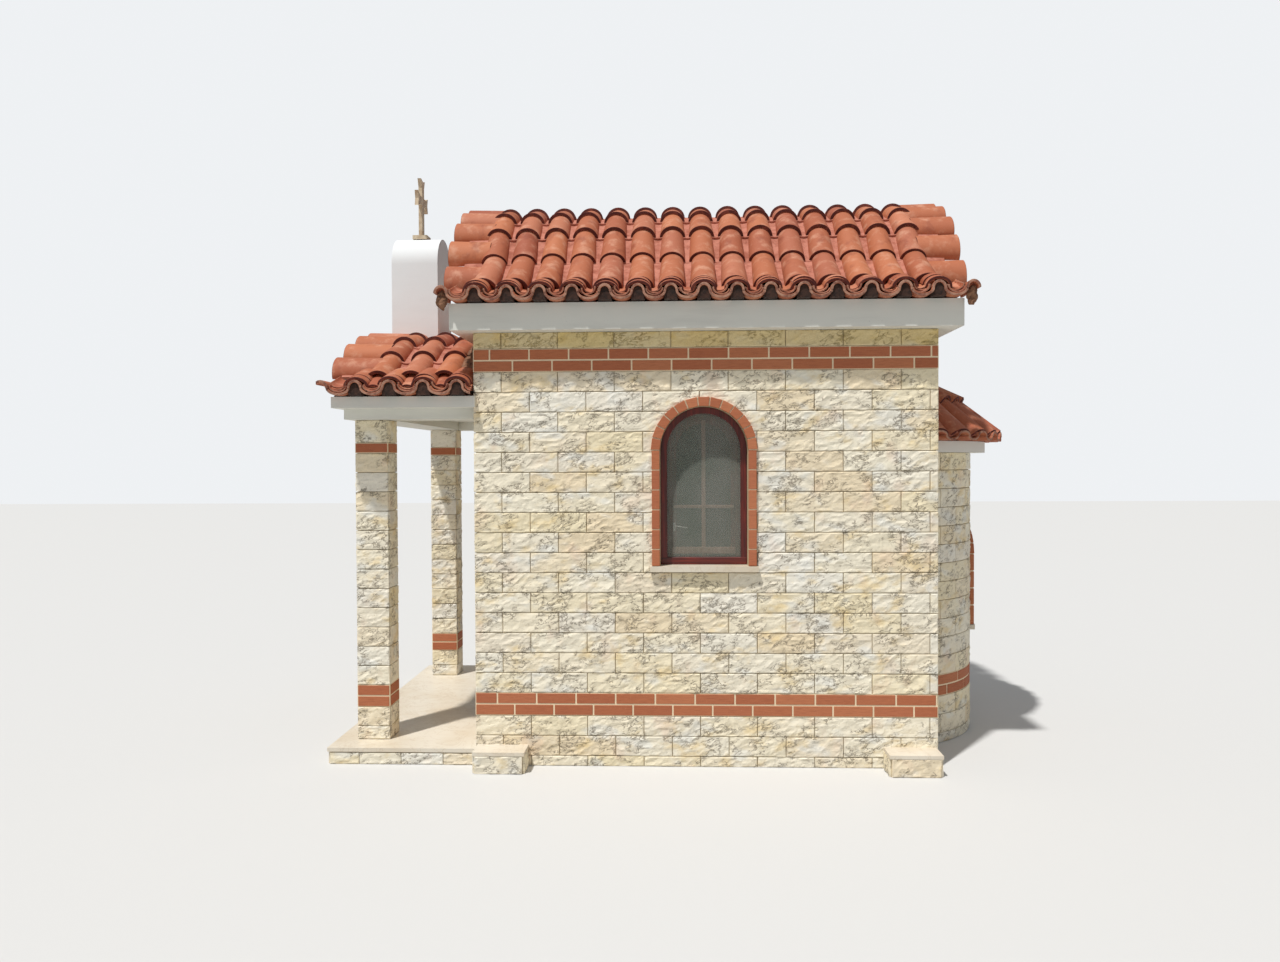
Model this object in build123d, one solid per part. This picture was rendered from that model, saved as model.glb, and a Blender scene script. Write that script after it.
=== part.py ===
from build123d import *
import os
from math import acos, asin, cos, degrees, radians, sin, sqrt

os.makedirs("parts", exist_ok=True)

# A small roadside chapel. The origin is the middle of the nave at ground level.
# +X runs east to the apse, -X west to the porch, +Y north, +Z up. Sizes are in millimetres.
# The walls stop at the mortar face, and their stone slips stand proud of it by this much.
stone_proud = 13

# Nave
nave_length = 2874
nave_width = 2534
wall_thickness = 220
floor_level = 105
soffit_level = 2735
cornice_thickness = 165
cornice_overhang = 134

# Nave roof: a barrel vault under tiles. The vault springs from the cornice, inside the eave tiles.
vault_setback = 323
vault_rise = 809
vault_thickness = 80
tympanum_thickness = 150
tile_crest = 95
tile_step = 22
tile_pitch = 196
cover_width = 172
cover_narrowing = 26
pan_height = 26
ridge_half_span = 315
course_count = 3
first_rim_rise = 322
first_course_setback = 100
first_course_crest = 85

# Eave row: one wavy row of tiles under the covers
eave_pitch = 200
eave_wave_height = 84
eave_tile_thickness = 15
eave_tile_length = 390
eave_overhang = 79
eave_wave_overrun = 34
eave_bedding = 2

# Verge tiles, laid across the ends of the vault
verge_overhang = 112
verge_seat = 101
verge_spacing = 241
verge_tile_width = 226
verge_tile_height = 84
verge_eave_gap = 225

# Porch
porch_reach = 953
porch_base_height = 80
porch_paving_thickness = 25
paving_nosing = 15
column_side = 195
column_centre_x = -2164
column_centre_y = 974
beam_underside = 2200
beam_depth = 67
beam_width = 270
beam_front = 1180
beam_west_end = -2310
porch_slab_thickness = 70
porch_slab_half_width = 1310
porch_slab_west_end = -2348
porch_vault_setback = 50
porch_vault_rise = 473
porch_vault_thickness = 70
porch_tile_pitch = 214
porch_course_count = 2
porch_first_rim_rise = 239
porch_wall_flashing = 85
porch_eave_overhang = 70
porch_first_course_setback = 90
porch_first_course_crest = 78
porch_verge_overhang = 75
porch_verge_seat = 171
porch_verge_eave_gap = 330

# Belfry and cross
belfry_length = 342
belfry_width = 420
belfry_top = 3608
belfry_centre_x = -2105
cross_foot_side = 110
cross_foot_height = 30
cross_height = 426
cross_thickness = 27
cross_bar_width = 62
cross_end_width = 112
cross_flare = 60
cross_span = 280
cross_arm_level = 260
cross_notch = 14

# Apse: a round wall whose centre lies inside the nave
apse_axis_x = 1127
apse_radius = 837
apse_wall_thickness = 150
apse_soffit_level = 1975
apse_cornice_thickness = 75
apse_cornice_radius = 950
apse_dome_setback = 12
apse_dome_rise = 565
apse_dome_thickness = 70
apse_tile_crest = 92
apse_tile_count = 13
apse_tile_step_angle = 11.2
apse_cover_width = 176
apse_eave_radius = 1066
apse_eave_level = 2118
apse_rim_elevation = 44
apse_top_elevation = 71
apse_drip_thickness = 22
chancel_arch_width = 900
chancel_arch_spring = 1400

# Windows
window_width = 548
window_sill_level = 1231
window_spring_level = 1991
sill_thickness = 34
sill_projection = 50
sill_horn = 64
surround_width = 56
surround_proud = 34
frame_setback = 107
frame_width = 52
frame_depth = 62
glass_thickness = 6
apse_window_width = 300
apse_window_sill_level = 690
apse_window_spring_level = 1240
apse_frame_setback = 60
apse_frame_depth = 45
apse_frame_width = 34

# Door
door_width = 800
door_spring_level = 1560
door_frame_width = 60
door_frame_depth = 90
door_frame_setback = 70
door_leaf_thickness = 45
door_gap = 3
threshold_height = 20
threshold_projection = 30

# Plinths for flower pots at the four corners
plinth_width = 300
plinth_depth = 182
plinth_height = 112
plinth_cap_thickness = 22
plinth_cap_overhang = 12
plinth_corner_inset = 12

# Derived places
half_length = nave_length / 2
half_width = nave_width / 2
cornice_top = soffit_level + cornice_thickness
cornice_half_length = half_length + cornice_overhang
cornice_half_width = half_width + cornice_overhang
inner_half_length = half_length - wall_thickness
inner_half_width = half_width - wall_thickness
porch_floor_level = porch_base_height + porch_paving_thickness
porch_west_end = -half_length - porch_reach
beam_top = beam_underside + beam_depth
porch_slab_top = beam_top + porch_slab_thickness
apse_cornice_top = apse_soffit_level + apse_cornice_thickness


def arc_radius(half_span, rise):
    """The radius of an arc that rises by a given height between two points."""
    return (half_span**2 + rise**2) / (2 * rise)


vault_radius = arc_radius(cornice_half_width - vault_setback, vault_rise)
vault_centre_level = cornice_top + vault_rise - vault_radius
porch_vault_radius = arc_radius(porch_slab_half_width - porch_vault_setback, porch_vault_rise)
porch_vault_centre_level = porch_slab_top + porch_vault_rise - porch_vault_radius
apse_dome_radius = arc_radius(apse_cornice_radius - apse_dome_setback, apse_dome_rise)
apse_dome_centre_level = apse_cornice_top + apse_dome_rise - apse_dome_radius


def block(x0, x1, y0, y1, z0, z1):
    """A box given by its faces."""
    size = Box(x1 - x0, y1 - y0, z1 - z0)
    return Pos((x0 + x1) / 2, (y0 + y1) / 2, (z0 + z1) / 2) * size


def cylinder_along_x(radius, level, x0, x1):
    """A cylinder whose axis runs along X at a given level over the middle of the nave."""
    place = Pos((x0 + x1) / 2, 0, level) * Rot(0, 90, 0)
    return place * Cylinder(radius, x1 - x0)


def arch_face(width, bottom, spring):
    """A round-headed opening as a face in the XZ plane, centred on the Z axis."""
    half = width / 2
    edges = [
        Line((-half, 0, bottom), (half, 0, bottom)),
        Line((half, 0, bottom), (half, 0, spring)),
        ThreePointArc((half, 0, spring), (0, 0, spring + half), (-half, 0, spring)),
        Line((-half, 0, spring), (-half, 0, bottom)),
    ]
    return make_face(edges)


def arch_block(width, bottom, spring, y0, y1):
    """A round-headed block between two planes of constant Y."""
    face = Pos(0, y0, 0) * arch_face(width, bottom, spring)
    return extrude(face, amount=y1 - y0, dir=(0, 1, 0))


def arch_ring(width, bottom, spring, band, y0, y1):
    """A round-headed band outside a given opening, open at the bottom."""
    outer = arch_block(width + 2 * band, bottom, spring, y0, y1)
    return outer - arch_block(width, bottom, spring, y0, y1)


def arch_frame(width, bottom, spring, band, y0, y1):
    """A round-headed frame inside a given opening, closed at the bottom."""
    outer = arch_block(width, bottom, spring, y0, y1)
    return outer - arch_block(width - 2 * band, bottom + band, spring, y0, y1)


# Turns what is modelled facing south so that it faces another way.
to_north = Rot(0, 0, 180)
to_west = Rot(0, 0, -90)
to_east = Rot(0, 0, 90)


# Walls and floor
window_cut = arch_block(window_width, window_sill_level, window_spring_level, -half_width, -inner_half_width)
south_wall = block(-half_length, half_length, -half_width, -inner_half_width, 0, soffit_level) - window_cut
north_wall = to_north * south_wall

nave_floor = block(-inner_half_length, inner_half_length, -inner_half_width, inner_half_width, 0, floor_level)

door_cut = to_west * arch_block(door_width, floor_level, door_spring_level, -half_length, -inner_half_length)
end_wall = block(-half_length, -inner_half_length, -inner_half_width, inner_half_width, 0, soffit_level)
west_wall = end_wall - door_cut
chancel_cut = to_east * arch_block(
    chancel_arch_width, floor_level, chancel_arch_spring, -half_length, -inner_half_length
)
east_wall = to_north * end_wall - chancel_cut

nave_cornice = block(
    -cornice_half_length, cornice_half_length, -cornice_half_width, cornice_half_width, soffit_level, cornice_top
)

# The vault over the nave, and the walls that close its ends
above_cornice = block(
    -2 * nave_length, 2 * nave_length, -nave_width, nave_width, cornice_top, cornice_top + 2 * vault_radius
)
vault_outside = cylinder_along_x(vault_radius, vault_centre_level, -cornice_half_length, cornice_half_length)
vault_inside_radius = vault_radius - vault_thickness
vault_inside = cylinder_along_x(
    vault_inside_radius, vault_centre_level, -cornice_half_length, cornice_half_length
)
nave_vault = (vault_outside - vault_inside) & above_cornice
west_tympanum = above_cornice & cylinder_along_x(
    vault_inside_radius, vault_centre_level, -half_length, tympanum_thickness - half_length
)
east_tympanum = to_north * west_tympanum


def cover_profile(centres, width, ends, crest, pan, bottom):
    """A ribbed profile in X and a height: half-round covers with flat pans between them."""
    edges = [Line((ends[0], bottom), (ends[0], pan))]
    x = ends[0]
    for centre in centres:
        left = centre - width / 2
        right = centre + width / 2
        edges.append(Line((x, pan), (left, pan)))
        edges.append(ThreePointArc((left, pan), (centre, crest), (right, pan)))
        x = right
    edges.append(Line((x, pan), (ends[1], pan)))
    edges.append(Line((ends[1], pan), (ends[1], bottom)))
    edges.append(Line((ends[1], bottom), (ends[0], bottom)))
    return make_face(edges)


def radial_plane(level, angle, side):
    """A plane through the vault's axis. Its Y axis points outward at an angle from vertical."""
    outward = Vector(0, side * sin(radians(angle)), cos(radians(angle)))
    x_direction = Vector(1, 0, 0)
    return Plane(origin=(0, 0, level), x_dir=x_direction, z_dir=x_direction.cross(outward))


def tile_field(side, centres, ends, level, radius, rims, start, start_base, start_crest):
    """Covers and pans on one side of a vault, in courses that step down to the eave."""
    sunk = radius - vault_thickness / 2
    narrow = cover_width - cover_narrowing
    low_crest = radius + tile_crest
    high_crest = low_crest - tile_step
    pan = radius + pan_height
    eave_plane = Plane(origin=(0, side * start, 0), x_dir=(1, 0, 0), z_dir=(0, -1, 0))
    eave_bottom = start_base - tile_crest
    first = eave_plane * cover_profile(
        centres, cover_width, ends, start_base + start_crest, start_base + pan_height, eave_bottom
    )
    upper = radial_plane(level, rims[0], side) * cover_profile(centres, narrow, ends, high_crest, pan, sunk)
    field = loft([first, upper], ruled=True)
    for lower_angle, upper_angle in zip(rims, rims[1:]):
        lower = radial_plane(level, lower_angle, side) * cover_profile(
            centres, cover_width, ends, low_crest, pan + 2, sunk
        )
        upper = radial_plane(level, upper_angle, side) * cover_profile(
            centres, narrow, ends, high_crest, pan, sunk
        )
        field += loft([lower, upper], ruled=True)
    length = ends[1] - ends[0]
    middle = (ends[0] + ends[1]) / 2
    core = Pos(middle, 0, level) * Rot(0, 90, 0) * Cylinder(radius, length * 2)
    under = block(ends[0] - length, ends[1] + length, -2 * start, 2 * start, start_base - 2 * radius, start_base)
    return field - core - under


def rim_angles(level, radius, first_rim_level, courses):
    """Angles from vertical where the courses' lower rims lie, from the first rim up to the ridge tiles."""
    first = degrees(acos((first_rim_level - level) / radius))
    last = degrees(asin(ridge_half_span / (radius + tile_crest)))
    return [first + (last - first) * k / courses for k in range(courses + 1)]


def ridge_caps(centres, ends, level, radius, rim):
    """Short covers laid straight across the crown of a vault."""
    crest = level + (radius + tile_crest) * cos(radians(rim))
    half_span = (radius + tile_crest) * sin(radians(rim))
    base = level + radius - tile_crest
    profile = Plane.XZ * cover_profile(centres, cover_width, ends, crest, level + radius + pan_height, base)
    caps = extrude(profile, amount=half_span, both=True)
    length = ends[1] - ends[0]
    middle = (ends[0] + ends[1]) / 2
    core = Pos(middle, 0, level) * Rot(0, 90, 0) * Cylinder(radius, length * 2)
    slope = half_span / cos(radians(rim))
    wedge_top = level
    wedges = []
    for side in (1, -1):
        edge = Vector(0, side * sin(radians(rim)), cos(radians(rim))) * (2 * slope + 2 * radius)
        floor_point = (0, side * 4 * radius, wedge_top)
        face = make_face(
            [
                Line((0, 0, wedge_top), (0, edge.Y, wedge_top + edge.Z)),
                Line((0, edge.Y, wedge_top + edge.Z), floor_point),
                Line(floor_point, (0, 0, wedge_top)),
            ]
        )
        wedges.append(extrude(Pos(ends[0] - length, 0, 0) * face, amount=3 * length, dir=(1, 0, 0)))
    return caps - core - wedges[0] - wedges[1]


def wave_sheet(pitch, first_cup, cups, ends, base, y0, y1):
    """A wavy row of tiles along an eave: cups that hang down, crowns between them, level tips at the ends."""
    quarter = pitch / 4
    height = eave_wave_height
    radius = (4 * quarter**2 + height**2) / (4 * height)
    half = eave_tile_thickness / 2
    swing = asin(quarter / radius)
    crest = base + height + half
    crown_centre = crest - radius
    cup_centre = base + half + radius
    last_crown = first_cup + (cups - 1) * pitch + pitch / 2

    def wave(offset):
        crown_reach = radius + offset
        cup_reach = radius - offset
        across = crown_reach * sin(swing)
        drop = crown_centre + crown_reach * cos(swing)
        bulge_across = crown_reach * sin(swing / 2)
        bulge = crown_centre + crown_reach * cos(swing / 2)
        start = first_cup - pitch / 2
        edges = [
            Line((ends[0], crest + offset), (start, crest + offset)),
            ThreePointArc((start, crest + offset), (start + bulge_across, bulge), (start + across, drop)),
        ]
        for k in range(cups):
            x = first_cup + k * pitch
            left = edges[-1] @ 1
            right = (2 * x - left.X, left.Y)
            edges.append(ThreePointArc(left, (x, cup_centre - cup_reach), right))
            crown = x + pitch / 2
            if k < cups - 1:
                far = (2 * crown - right[0], left.Y)
                edges.append(ThreePointArc(right, (crown, crest + offset), far))
        edges.append(
            ThreePointArc(
                (last_crown - across, drop), (last_crown - bulge_across, bulge), (last_crown, crest + offset)
            )
        )
        edges.append(Line((last_crown, crest + offset), (ends[1], crest + offset)))
        return edges

    top = wave(half)
    bottom = wave(-half)
    edges = top + bottom
    edges.append(Line(top[-1] @ 1, bottom[-1] @ 1))
    edges.append(Line(bottom[0] @ 0, top[0] @ 0))
    face = Plane(origin=(0, y0, 0), x_dir=(1, 0, 0), z_dir=(0, -1, 0)) * make_face(edges)
    return extrude(face, amount=y1 - y0, dir=(0, 1, 0))


def verge_tile(x0, x1, level, radius, angle):
    """A half-round tile lying along X on a vault, at an angle from the crown."""
    half = verge_tile_width / 2
    sink = radius - radius * cos(asin(half / radius))
    face = make_face(
        [
            ThreePointArc((-half, radius - sink), (0, radius + verge_tile_height), (half, radius - sink)),
            ThreePointArc((half, radius - sink), (0, radius), (-half, radius - sink)),
        ]
    )
    plane = Plane(origin=(x0, 0, level), x_dir=(0, 1, 0), z_dir=(1, 0, 0))
    tile = extrude(plane * face, amount=x1 - x0)
    return Pos(0, 0, level) * Rot(angle, 0, 0) * Pos(0, 0, -level) * tile


def verge_row(x0, x1, level, radius, seat_level, eave_gap):
    """Verge tiles over a vault, evenly spaced between a gap above each eave."""
    spring = acos((seat_level - level) / radius)
    reach = spring - eave_gap / radius
    side_count = round(reach * radius / verge_spacing)
    step = degrees(reach / side_count)
    return [verge_tile(x0, x1, level, radius, k * step) for k in range(-side_count, side_count + 1)]


# Tiles on the nave
nave_field_end = cornice_half_length - verge_seat
tile_columns = round(2 * nave_field_end / tile_pitch)
nave_tile_pitch = 2 * nave_field_end / tile_columns
nave_centres = [(k - (tile_columns - 1) / 2) * nave_tile_pitch for k in range(tile_columns)]
nave_field_ends = (-nave_field_end, nave_field_end)
eave_crown_height = eave_bedding + eave_wave_height + eave_tile_thickness
nave_rim_angles = rim_angles(vault_centre_level, vault_radius, cornice_top + first_rim_rise, course_count)
nave_tiles_south = tile_field(
    -1,
    nave_centres,
    nave_field_ends,
    vault_centre_level,
    vault_radius,
    nave_rim_angles,
    cornice_half_width - first_course_setback,
    cornice_top + eave_crown_height,
    first_course_crest,
)
nave_tiles_north = to_north * nave_tiles_south
nave_ridge_tiles = ridge_caps(
    nave_centres, nave_field_ends, vault_centre_level, vault_radius, nave_rim_angles[-1]
)
verge_end = cornice_half_length + verge_overhang
nave_eave_edge = cornice_half_width + eave_overhang
wave_half_length = cornice_half_length + eave_wave_overrun
nave_eave_cups = round(2 * wave_half_length / eave_pitch)
nave_eave_pitch = 2 * wave_half_length / nave_eave_cups
nave_eave_tiles_south = wave_sheet(
    nave_eave_pitch,
    nave_eave_pitch / 2 - wave_half_length,
    nave_eave_cups,
    (-verge_end, verge_end),
    cornice_top + eave_bedding,
    -nave_eave_edge,
    eave_tile_length - nave_eave_edge,
)
nave_eave_tiles = Compound([nave_eave_tiles_south, to_north * nave_eave_tiles_south])
west_verge = verge_row(
    -verge_end, -nave_field_end, vault_centre_level, vault_radius, cornice_top, verge_eave_gap
)
nave_verge_tiles = Compound(west_verge + [to_north * tile for tile in west_verge])

# Apse
nave_east_side = block(half_length, 3 * nave_length, -nave_width, nave_width, 0, 3 * soffit_level)


def apse_disc(radius, bottom, top):
    """The part of an upright cylinder on the apse's axis that lies east of the nave."""
    drum = Pos(apse_axis_x, 0, (bottom + top) / 2) * Cylinder(radius, top - bottom)
    return drum & nave_east_side


apse_inner_radius = apse_radius - apse_wall_thickness
apse_ring = apse_disc(apse_radius, 0, apse_soffit_level) - apse_disc(apse_inner_radius, 0, apse_soffit_level)
apse_face_x = apse_axis_x + apse_radius
apse_window_cut = to_east * arch_block(
    apse_window_width,
    apse_window_sill_level,
    apse_window_spring_level,
    -apse_face_x,
    apse_wall_thickness * 1.5 - apse_face_x,
)
segment_half_angle = 26
wedge_reach = 2 * apse_radius
wedge_face = make_face(
    Polyline(
        (apse_axis_x, 0),
        (apse_axis_x + wedge_reach, -wedge_reach * sin(radians(segment_half_angle)) / cos(radians(segment_half_angle))),
        (apse_axis_x + wedge_reach, wedge_reach * sin(radians(segment_half_angle)) / cos(radians(segment_half_angle))),
        close=True,
    )
)
apse_wedge = extrude(wedge_face, amount=apse_soffit_level)
apse_wall_east = (apse_ring & apse_wedge) - apse_window_cut
apse_sides = apse_ring - apse_wedge
apse_wall_south = apse_sides & block(0, 3 * nave_length, -nave_width, 0, 0, apse_soffit_level)
apse_wall_north = apse_sides & block(0, 3 * nave_length, 0, nave_width, 0, apse_soffit_level)
apse_floor = apse_disc(apse_inner_radius, 0, floor_level)
apse_cornice = apse_disc(apse_cornice_radius, apse_soffit_level, apse_cornice_top)
dome_centre = Pos(apse_axis_x, 0, apse_dome_centre_level)
apse_above = nave_east_side & block(0, 3 * nave_length, -nave_width, nave_width, apse_cornice_top, soffit_level)
apse_dome = (
    (dome_centre * Sphere(apse_dome_radius) - dome_centre * Sphere(apse_dome_radius - apse_dome_thickness))
    & apse_above
)


def meridian_section(elevation, width, crest, sunk):
    """A half-round section across a cover on the dome, at an elevation above the dome's centre."""
    half = width / 2
    low = apse_dome_radius - sunk
    outward = Vector(cos(radians(elevation)), 0, sin(radians(elevation)))
    plane = Plane(
        origin=(apse_axis_x, 0, apse_dome_centre_level), x_dir=(0, 1, 0), z_dir=Vector(0, 1, 0).cross(outward)
    )
    face = make_face(
        [
            Line((-half, low), (half, low)),
            Line((half, low), (half, apse_dome_radius)),
            ThreePointArc((half, apse_dome_radius), (0, apse_dome_radius + crest), (-half, apse_dome_radius)),
            Line((-half, apse_dome_radius), (-half, low)),
        ]
    )
    return plane * face


def apse_cover():
    """One file of covers from the apse's eave to the nave wall, in two courses."""
    half = apse_cover_width / 2
    eave_base = apse_cornice_top
    eave_plane = Plane(origin=(apse_axis_x + apse_eave_radius, 0, 0), x_dir=(0, 1, 0), z_dir=(1, 0, 0))
    eave_face = make_face(
        [
            Line((-half, eave_base), (half, eave_base)),
            ThreePointArc((half, eave_base), (0, apse_eave_level), (-half, eave_base)),
        ]
    )
    eave_side = half * 0.02
    eave_face = make_face(
        [
            Line((-half, eave_base), (half, eave_base)),
            Line((half, eave_base), (half, eave_base + eave_side)),
            ThreePointArc((half, eave_base + eave_side), (0, apse_eave_level), (-half, eave_base + eave_side)),
            Line((-half, eave_base + eave_side), (-half, eave_base)),
        ]
    )
    ratio = cos(radians(apse_rim_elevation)) * apse_dome_radius / apse_eave_radius
    lower_top = meridian_section(
        apse_rim_elevation, apse_cover_width * ratio * 0.86, apse_tile_crest - tile_step, apse_dome_thickness
    )
    upper_bottom = meridian_section(
        apse_rim_elevation, apse_cover_width * ratio, apse_tile_crest, apse_dome_thickness
    )
    top_ratio = cos(radians(apse_top_elevation)) * apse_dome_radius / apse_eave_radius
    upper_top = meridian_section(
        apse_top_elevation, apse_cover_width * top_ratio, apse_tile_crest - 2 * tile_step, apse_dome_thickness
    )
    lower = loft([eave_plane * eave_face, lower_top], ruled=True)
    upper = loft([upper_bottom, upper_top], ruled=True)
    below = block(0, 3 * nave_length, -nave_width, nave_width, 0, apse_cornice_top)
    return (lower + upper) - dome_centre * Sphere(apse_dome_radius) - below


cover_file = apse_cover()
apse_axis = Axis((apse_axis_x, 0, 0), (0, 0, 1))
apse_tile_files = []
for k in range(apse_tile_count):
    turn = (k - (apse_tile_count - 1) / 2) * apse_tile_step_angle
    piece = cover_file.rotate(apse_axis, turn) & apse_above
    if piece.volume > 1000:
        apse_tile_files.append(piece)
apse_tiles = Compound(apse_tile_files)

# Porch
porch_base = block(porch_west_end, -half_length, -half_width, half_width, 0, porch_base_height)
porch_paving = block(
    porch_west_end - paving_nosing,
    -half_length,
    -half_width - paving_nosing,
    half_width + paving_nosing,
    porch_base_height,
    porch_floor_level,
)
half_side = column_side / 2
north_column = block(
    column_centre_x - half_side,
    column_centre_x + half_side,
    column_centre_y - half_side,
    column_centre_y + half_side,
    porch_floor_level,
    beam_underside,
)
porch_columns = Compound([north_column, mirror(north_column, Plane.XZ)])
porch_beam = block(beam_west_end, -half_length, -beam_front, beam_front, beam_underside, beam_top) - block(
    beam_west_end + beam_width,
    -half_length,
    beam_width - beam_front,
    beam_front - beam_width,
    beam_underside,
    beam_top,
)
porch_slab = block(
    porch_slab_west_end, -half_length, -porch_slab_half_width, porch_slab_half_width, beam_top, porch_slab_top
)
above_porch_slab = block(
    -2 * nave_length, -half_length, -nave_width, nave_width, porch_slab_top, cornice_top + vault_radius
)
belfry_spring = belfry_top - belfry_width / 2
belfry_west = belfry_centre_x - belfry_length / 2
belfry = to_west * arch_block(
    belfry_width, porch_slab_top, belfry_spring, belfry_west, belfry_west + belfry_length
)
belfry_hole = block(
    belfry_west,
    belfry_west + belfry_length,
    -belfry_width / 2,
    belfry_width / 2,
    porch_slab_top,
    belfry_top,
)
porch_outside = cylinder_along_x(
    porch_vault_radius, porch_vault_centre_level, porch_slab_west_end, -half_length
)
porch_inside = cylinder_along_x(
    porch_vault_radius - porch_vault_thickness, porch_vault_centre_level, porch_slab_west_end, -half_length
)
porch_gable_thickness = tympanum_thickness
porch_gable_block = block(
    porch_slab_west_end,
    porch_slab_west_end + porch_gable_thickness,
    -nave_width,
    nave_width,
    porch_slab_top,
    belfry_top,
)
nave_cornice_room = block(
    -cornice_half_length,
    -half_length,
    -cornice_half_width,
    cornice_half_width,
    soffit_level,
    cornice_top + tile_crest,
)
porch_vault = (porch_outside & above_porch_slab) - porch_inside - belfry_hole - nave_cornice_room
porch_tympanum = (porch_inside & above_porch_slab & porch_gable_block) - belfry_hole

porch_field_west = porch_slab_west_end + porch_verge_seat
porch_field_east = -half_length - stone_proud
porch_tile_run = porch_field_east - porch_wall_flashing - porch_field_west
porch_tile_columns = round(porch_tile_run / porch_tile_pitch)
porch_column_pitch = porch_tile_run / porch_tile_columns
porch_centres = [porch_field_west + (k + 0.5) * porch_column_pitch for k in range(porch_tile_columns)]
porch_field_ends = (porch_field_west, porch_field_east)
porch_eave_edge = porch_slab_half_width + porch_eave_overhang
porch_rim_angles = rim_angles(
    porch_vault_centre_level, porch_vault_radius, porch_slab_top + porch_first_rim_rise, porch_course_count
)
porch_tiles_south = (
    tile_field(
        -1,
        porch_centres,
        porch_field_ends,
        porch_vault_centre_level,
        porch_vault_radius,
        porch_rim_angles,
        porch_slab_half_width - porch_first_course_setback,
        porch_slab_top + eave_crown_height,
        porch_first_course_crest,
    )
    - belfry_hole
    - nave_cornice_room
)
porch_tiles_north = mirror(porch_tiles_south, Plane.XZ)
porch_ridge_tiles = (
    ridge_caps(
        porch_centres, porch_field_ends, porch_vault_centre_level, porch_vault_radius, porch_rim_angles[-1]
    )
    - belfry_hole
    - nave_cornice_room
)
porch_verge_end = porch_slab_west_end - porch_verge_overhang
porch_eave_row = wave_sheet(
    porch_column_pitch,
    porch_centres[0] - porch_column_pitch,
    porch_tile_columns + 2,
    (porch_verge_end, porch_centres[-1] + 2 * porch_column_pitch),
    porch_slab_top + eave_bedding,
    -porch_eave_edge,
    eave_tile_length - porch_eave_edge,
)
beside_nave = block(porch_verge_end, porch_field_east, -2 * nave_width, 2 * nave_width, porch_slab_top, belfry_top)
porch_eave_tiles_south = (porch_eave_row & beside_nave) - porch_outside
porch_eave_tiles = Compound([porch_eave_tiles_south, mirror(porch_eave_tiles_south, Plane.XZ)])
porch_verge_tiles = Compound(
    [
        tile - belfry_hole
        for tile in verge_row(
            porch_verge_end,
            porch_field_west,
            porch_vault_centre_level,
            porch_vault_radius,
            porch_slab_top,
            porch_verge_eave_gap,
        )
    ]
)

# Cross on the belfry, with its arms along Y
cross_base_level = belfry_top + cross_foot_height
cross_tip_level = cross_base_level + cross_height
arm_level = cross_base_level + cross_arm_level


def flared_bar(length):
    """A flat bar from the origin outward along Y that widens to a notched end."""
    half = cross_bar_width / 2
    end_half = cross_end_width / 2
    straight = length - cross_flare
    outline = Polyline(
        (-half, 0),
        (-half, straight),
        (-end_half, length),
        (0, length - cross_notch),
        (end_half, length),
        (half, straight),
        (half, 0),
        close=True,
    )
    return make_face(outline)


cross_outline = flared_bar(cross_height - cross_arm_level)
for turn in (90, -90):
    cross_outline += Rot(0, 0, turn) * flared_bar(cross_span / 2)
cross_outline += Rot(0, 0, 180) * Pos(0, cross_arm_level / 2) * Rectangle(cross_bar_width, cross_arm_level)
cross_plane = Plane(
    origin=(belfry_centre_x - cross_thickness / 2, 0, arm_level), x_dir=(0, 1, 0), z_dir=(1, 0, 0)
)
cross = extrude(cross_plane * cross_outline, amount=cross_thickness)
cross += Pos(belfry_centre_x, 0, belfry_top + cross_foot_height / 2) * Box(
    cross_foot_side, cross_foot_side, cross_foot_height
)


# Windows
def window_frame(width, bottom, spring, band, depth, face_y):
    """A round-headed wooden frame whose outer face lies at face_y."""
    return arch_frame(width, bottom, spring, band, face_y, face_y + depth)


def window_glass(width, bottom, spring, band, depth, face_y):
    """The pane inside a frame, at the middle of its depth."""
    middle = face_y + depth / 2
    return arch_block(
        width - 2 * band, bottom + band, spring, middle - glass_thickness / 2, middle + glass_thickness / 2
    )


def window_sill(width, bottom, face_y, tongue):
    """A stone sill: a tongue in the opening and a lip with horns in front of the wall."""
    half = width / 2
    lip = block(
        -half - sill_horn, half + sill_horn, face_y - sill_projection, face_y, bottom, bottom + sill_thickness
    )
    return lip + block(-half, half, face_y, face_y + tongue, bottom, bottom + sill_thickness)


sill_top = window_sill_level + sill_thickness
south_frame_face = frame_setback - half_width
south_window_frame = window_frame(
    window_width, sill_top, window_spring_level, frame_width, frame_depth, south_frame_face
)
south_window_glass = window_glass(
    window_width, sill_top, window_spring_level, frame_width, frame_depth, south_frame_face
)
south_window_surround = arch_ring(
    window_width, sill_top, window_spring_level, surround_width, -half_width - surround_proud, -half_width
)
south_window_sill = window_sill(window_width, window_sill_level, -half_width, wall_thickness)
north_window_frame = to_north * south_window_frame
north_window_glass = to_north * south_window_glass
north_window_surround = to_north * south_window_surround
north_window_sill = to_north * south_window_sill

apse_sill_top = apse_window_sill_level + sill_thickness
apse_frame_face = apse_frame_setback - apse_face_x
apse_window_frame = to_east * window_frame(
    apse_window_width,
    apse_sill_top,
    apse_window_spring_level,
    apse_frame_width,
    apse_frame_depth,
    apse_frame_face,
)
apse_window_glass = to_east * window_glass(
    apse_window_width,
    apse_sill_top,
    apse_window_spring_level,
    apse_frame_width,
    apse_frame_depth,
    apse_frame_face,
)
outside_apse = Pos(apse_axis_x, 0, apse_soffit_level / 2) * (
    Cylinder(apse_radius + surround_proud, apse_soffit_level) - Cylinder(apse_radius, apse_soffit_level)
)
apse_window_surround = outside_apse & (
    to_east
    * arch_ring(
        apse_window_width,
        apse_sill_top,
        apse_window_spring_level,
        surround_width,
        -apse_face_x - surround_proud,
        apse_wall_thickness - apse_face_x,
    )
)
apse_sill_half = apse_window_width / 2 + surround_width
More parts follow.
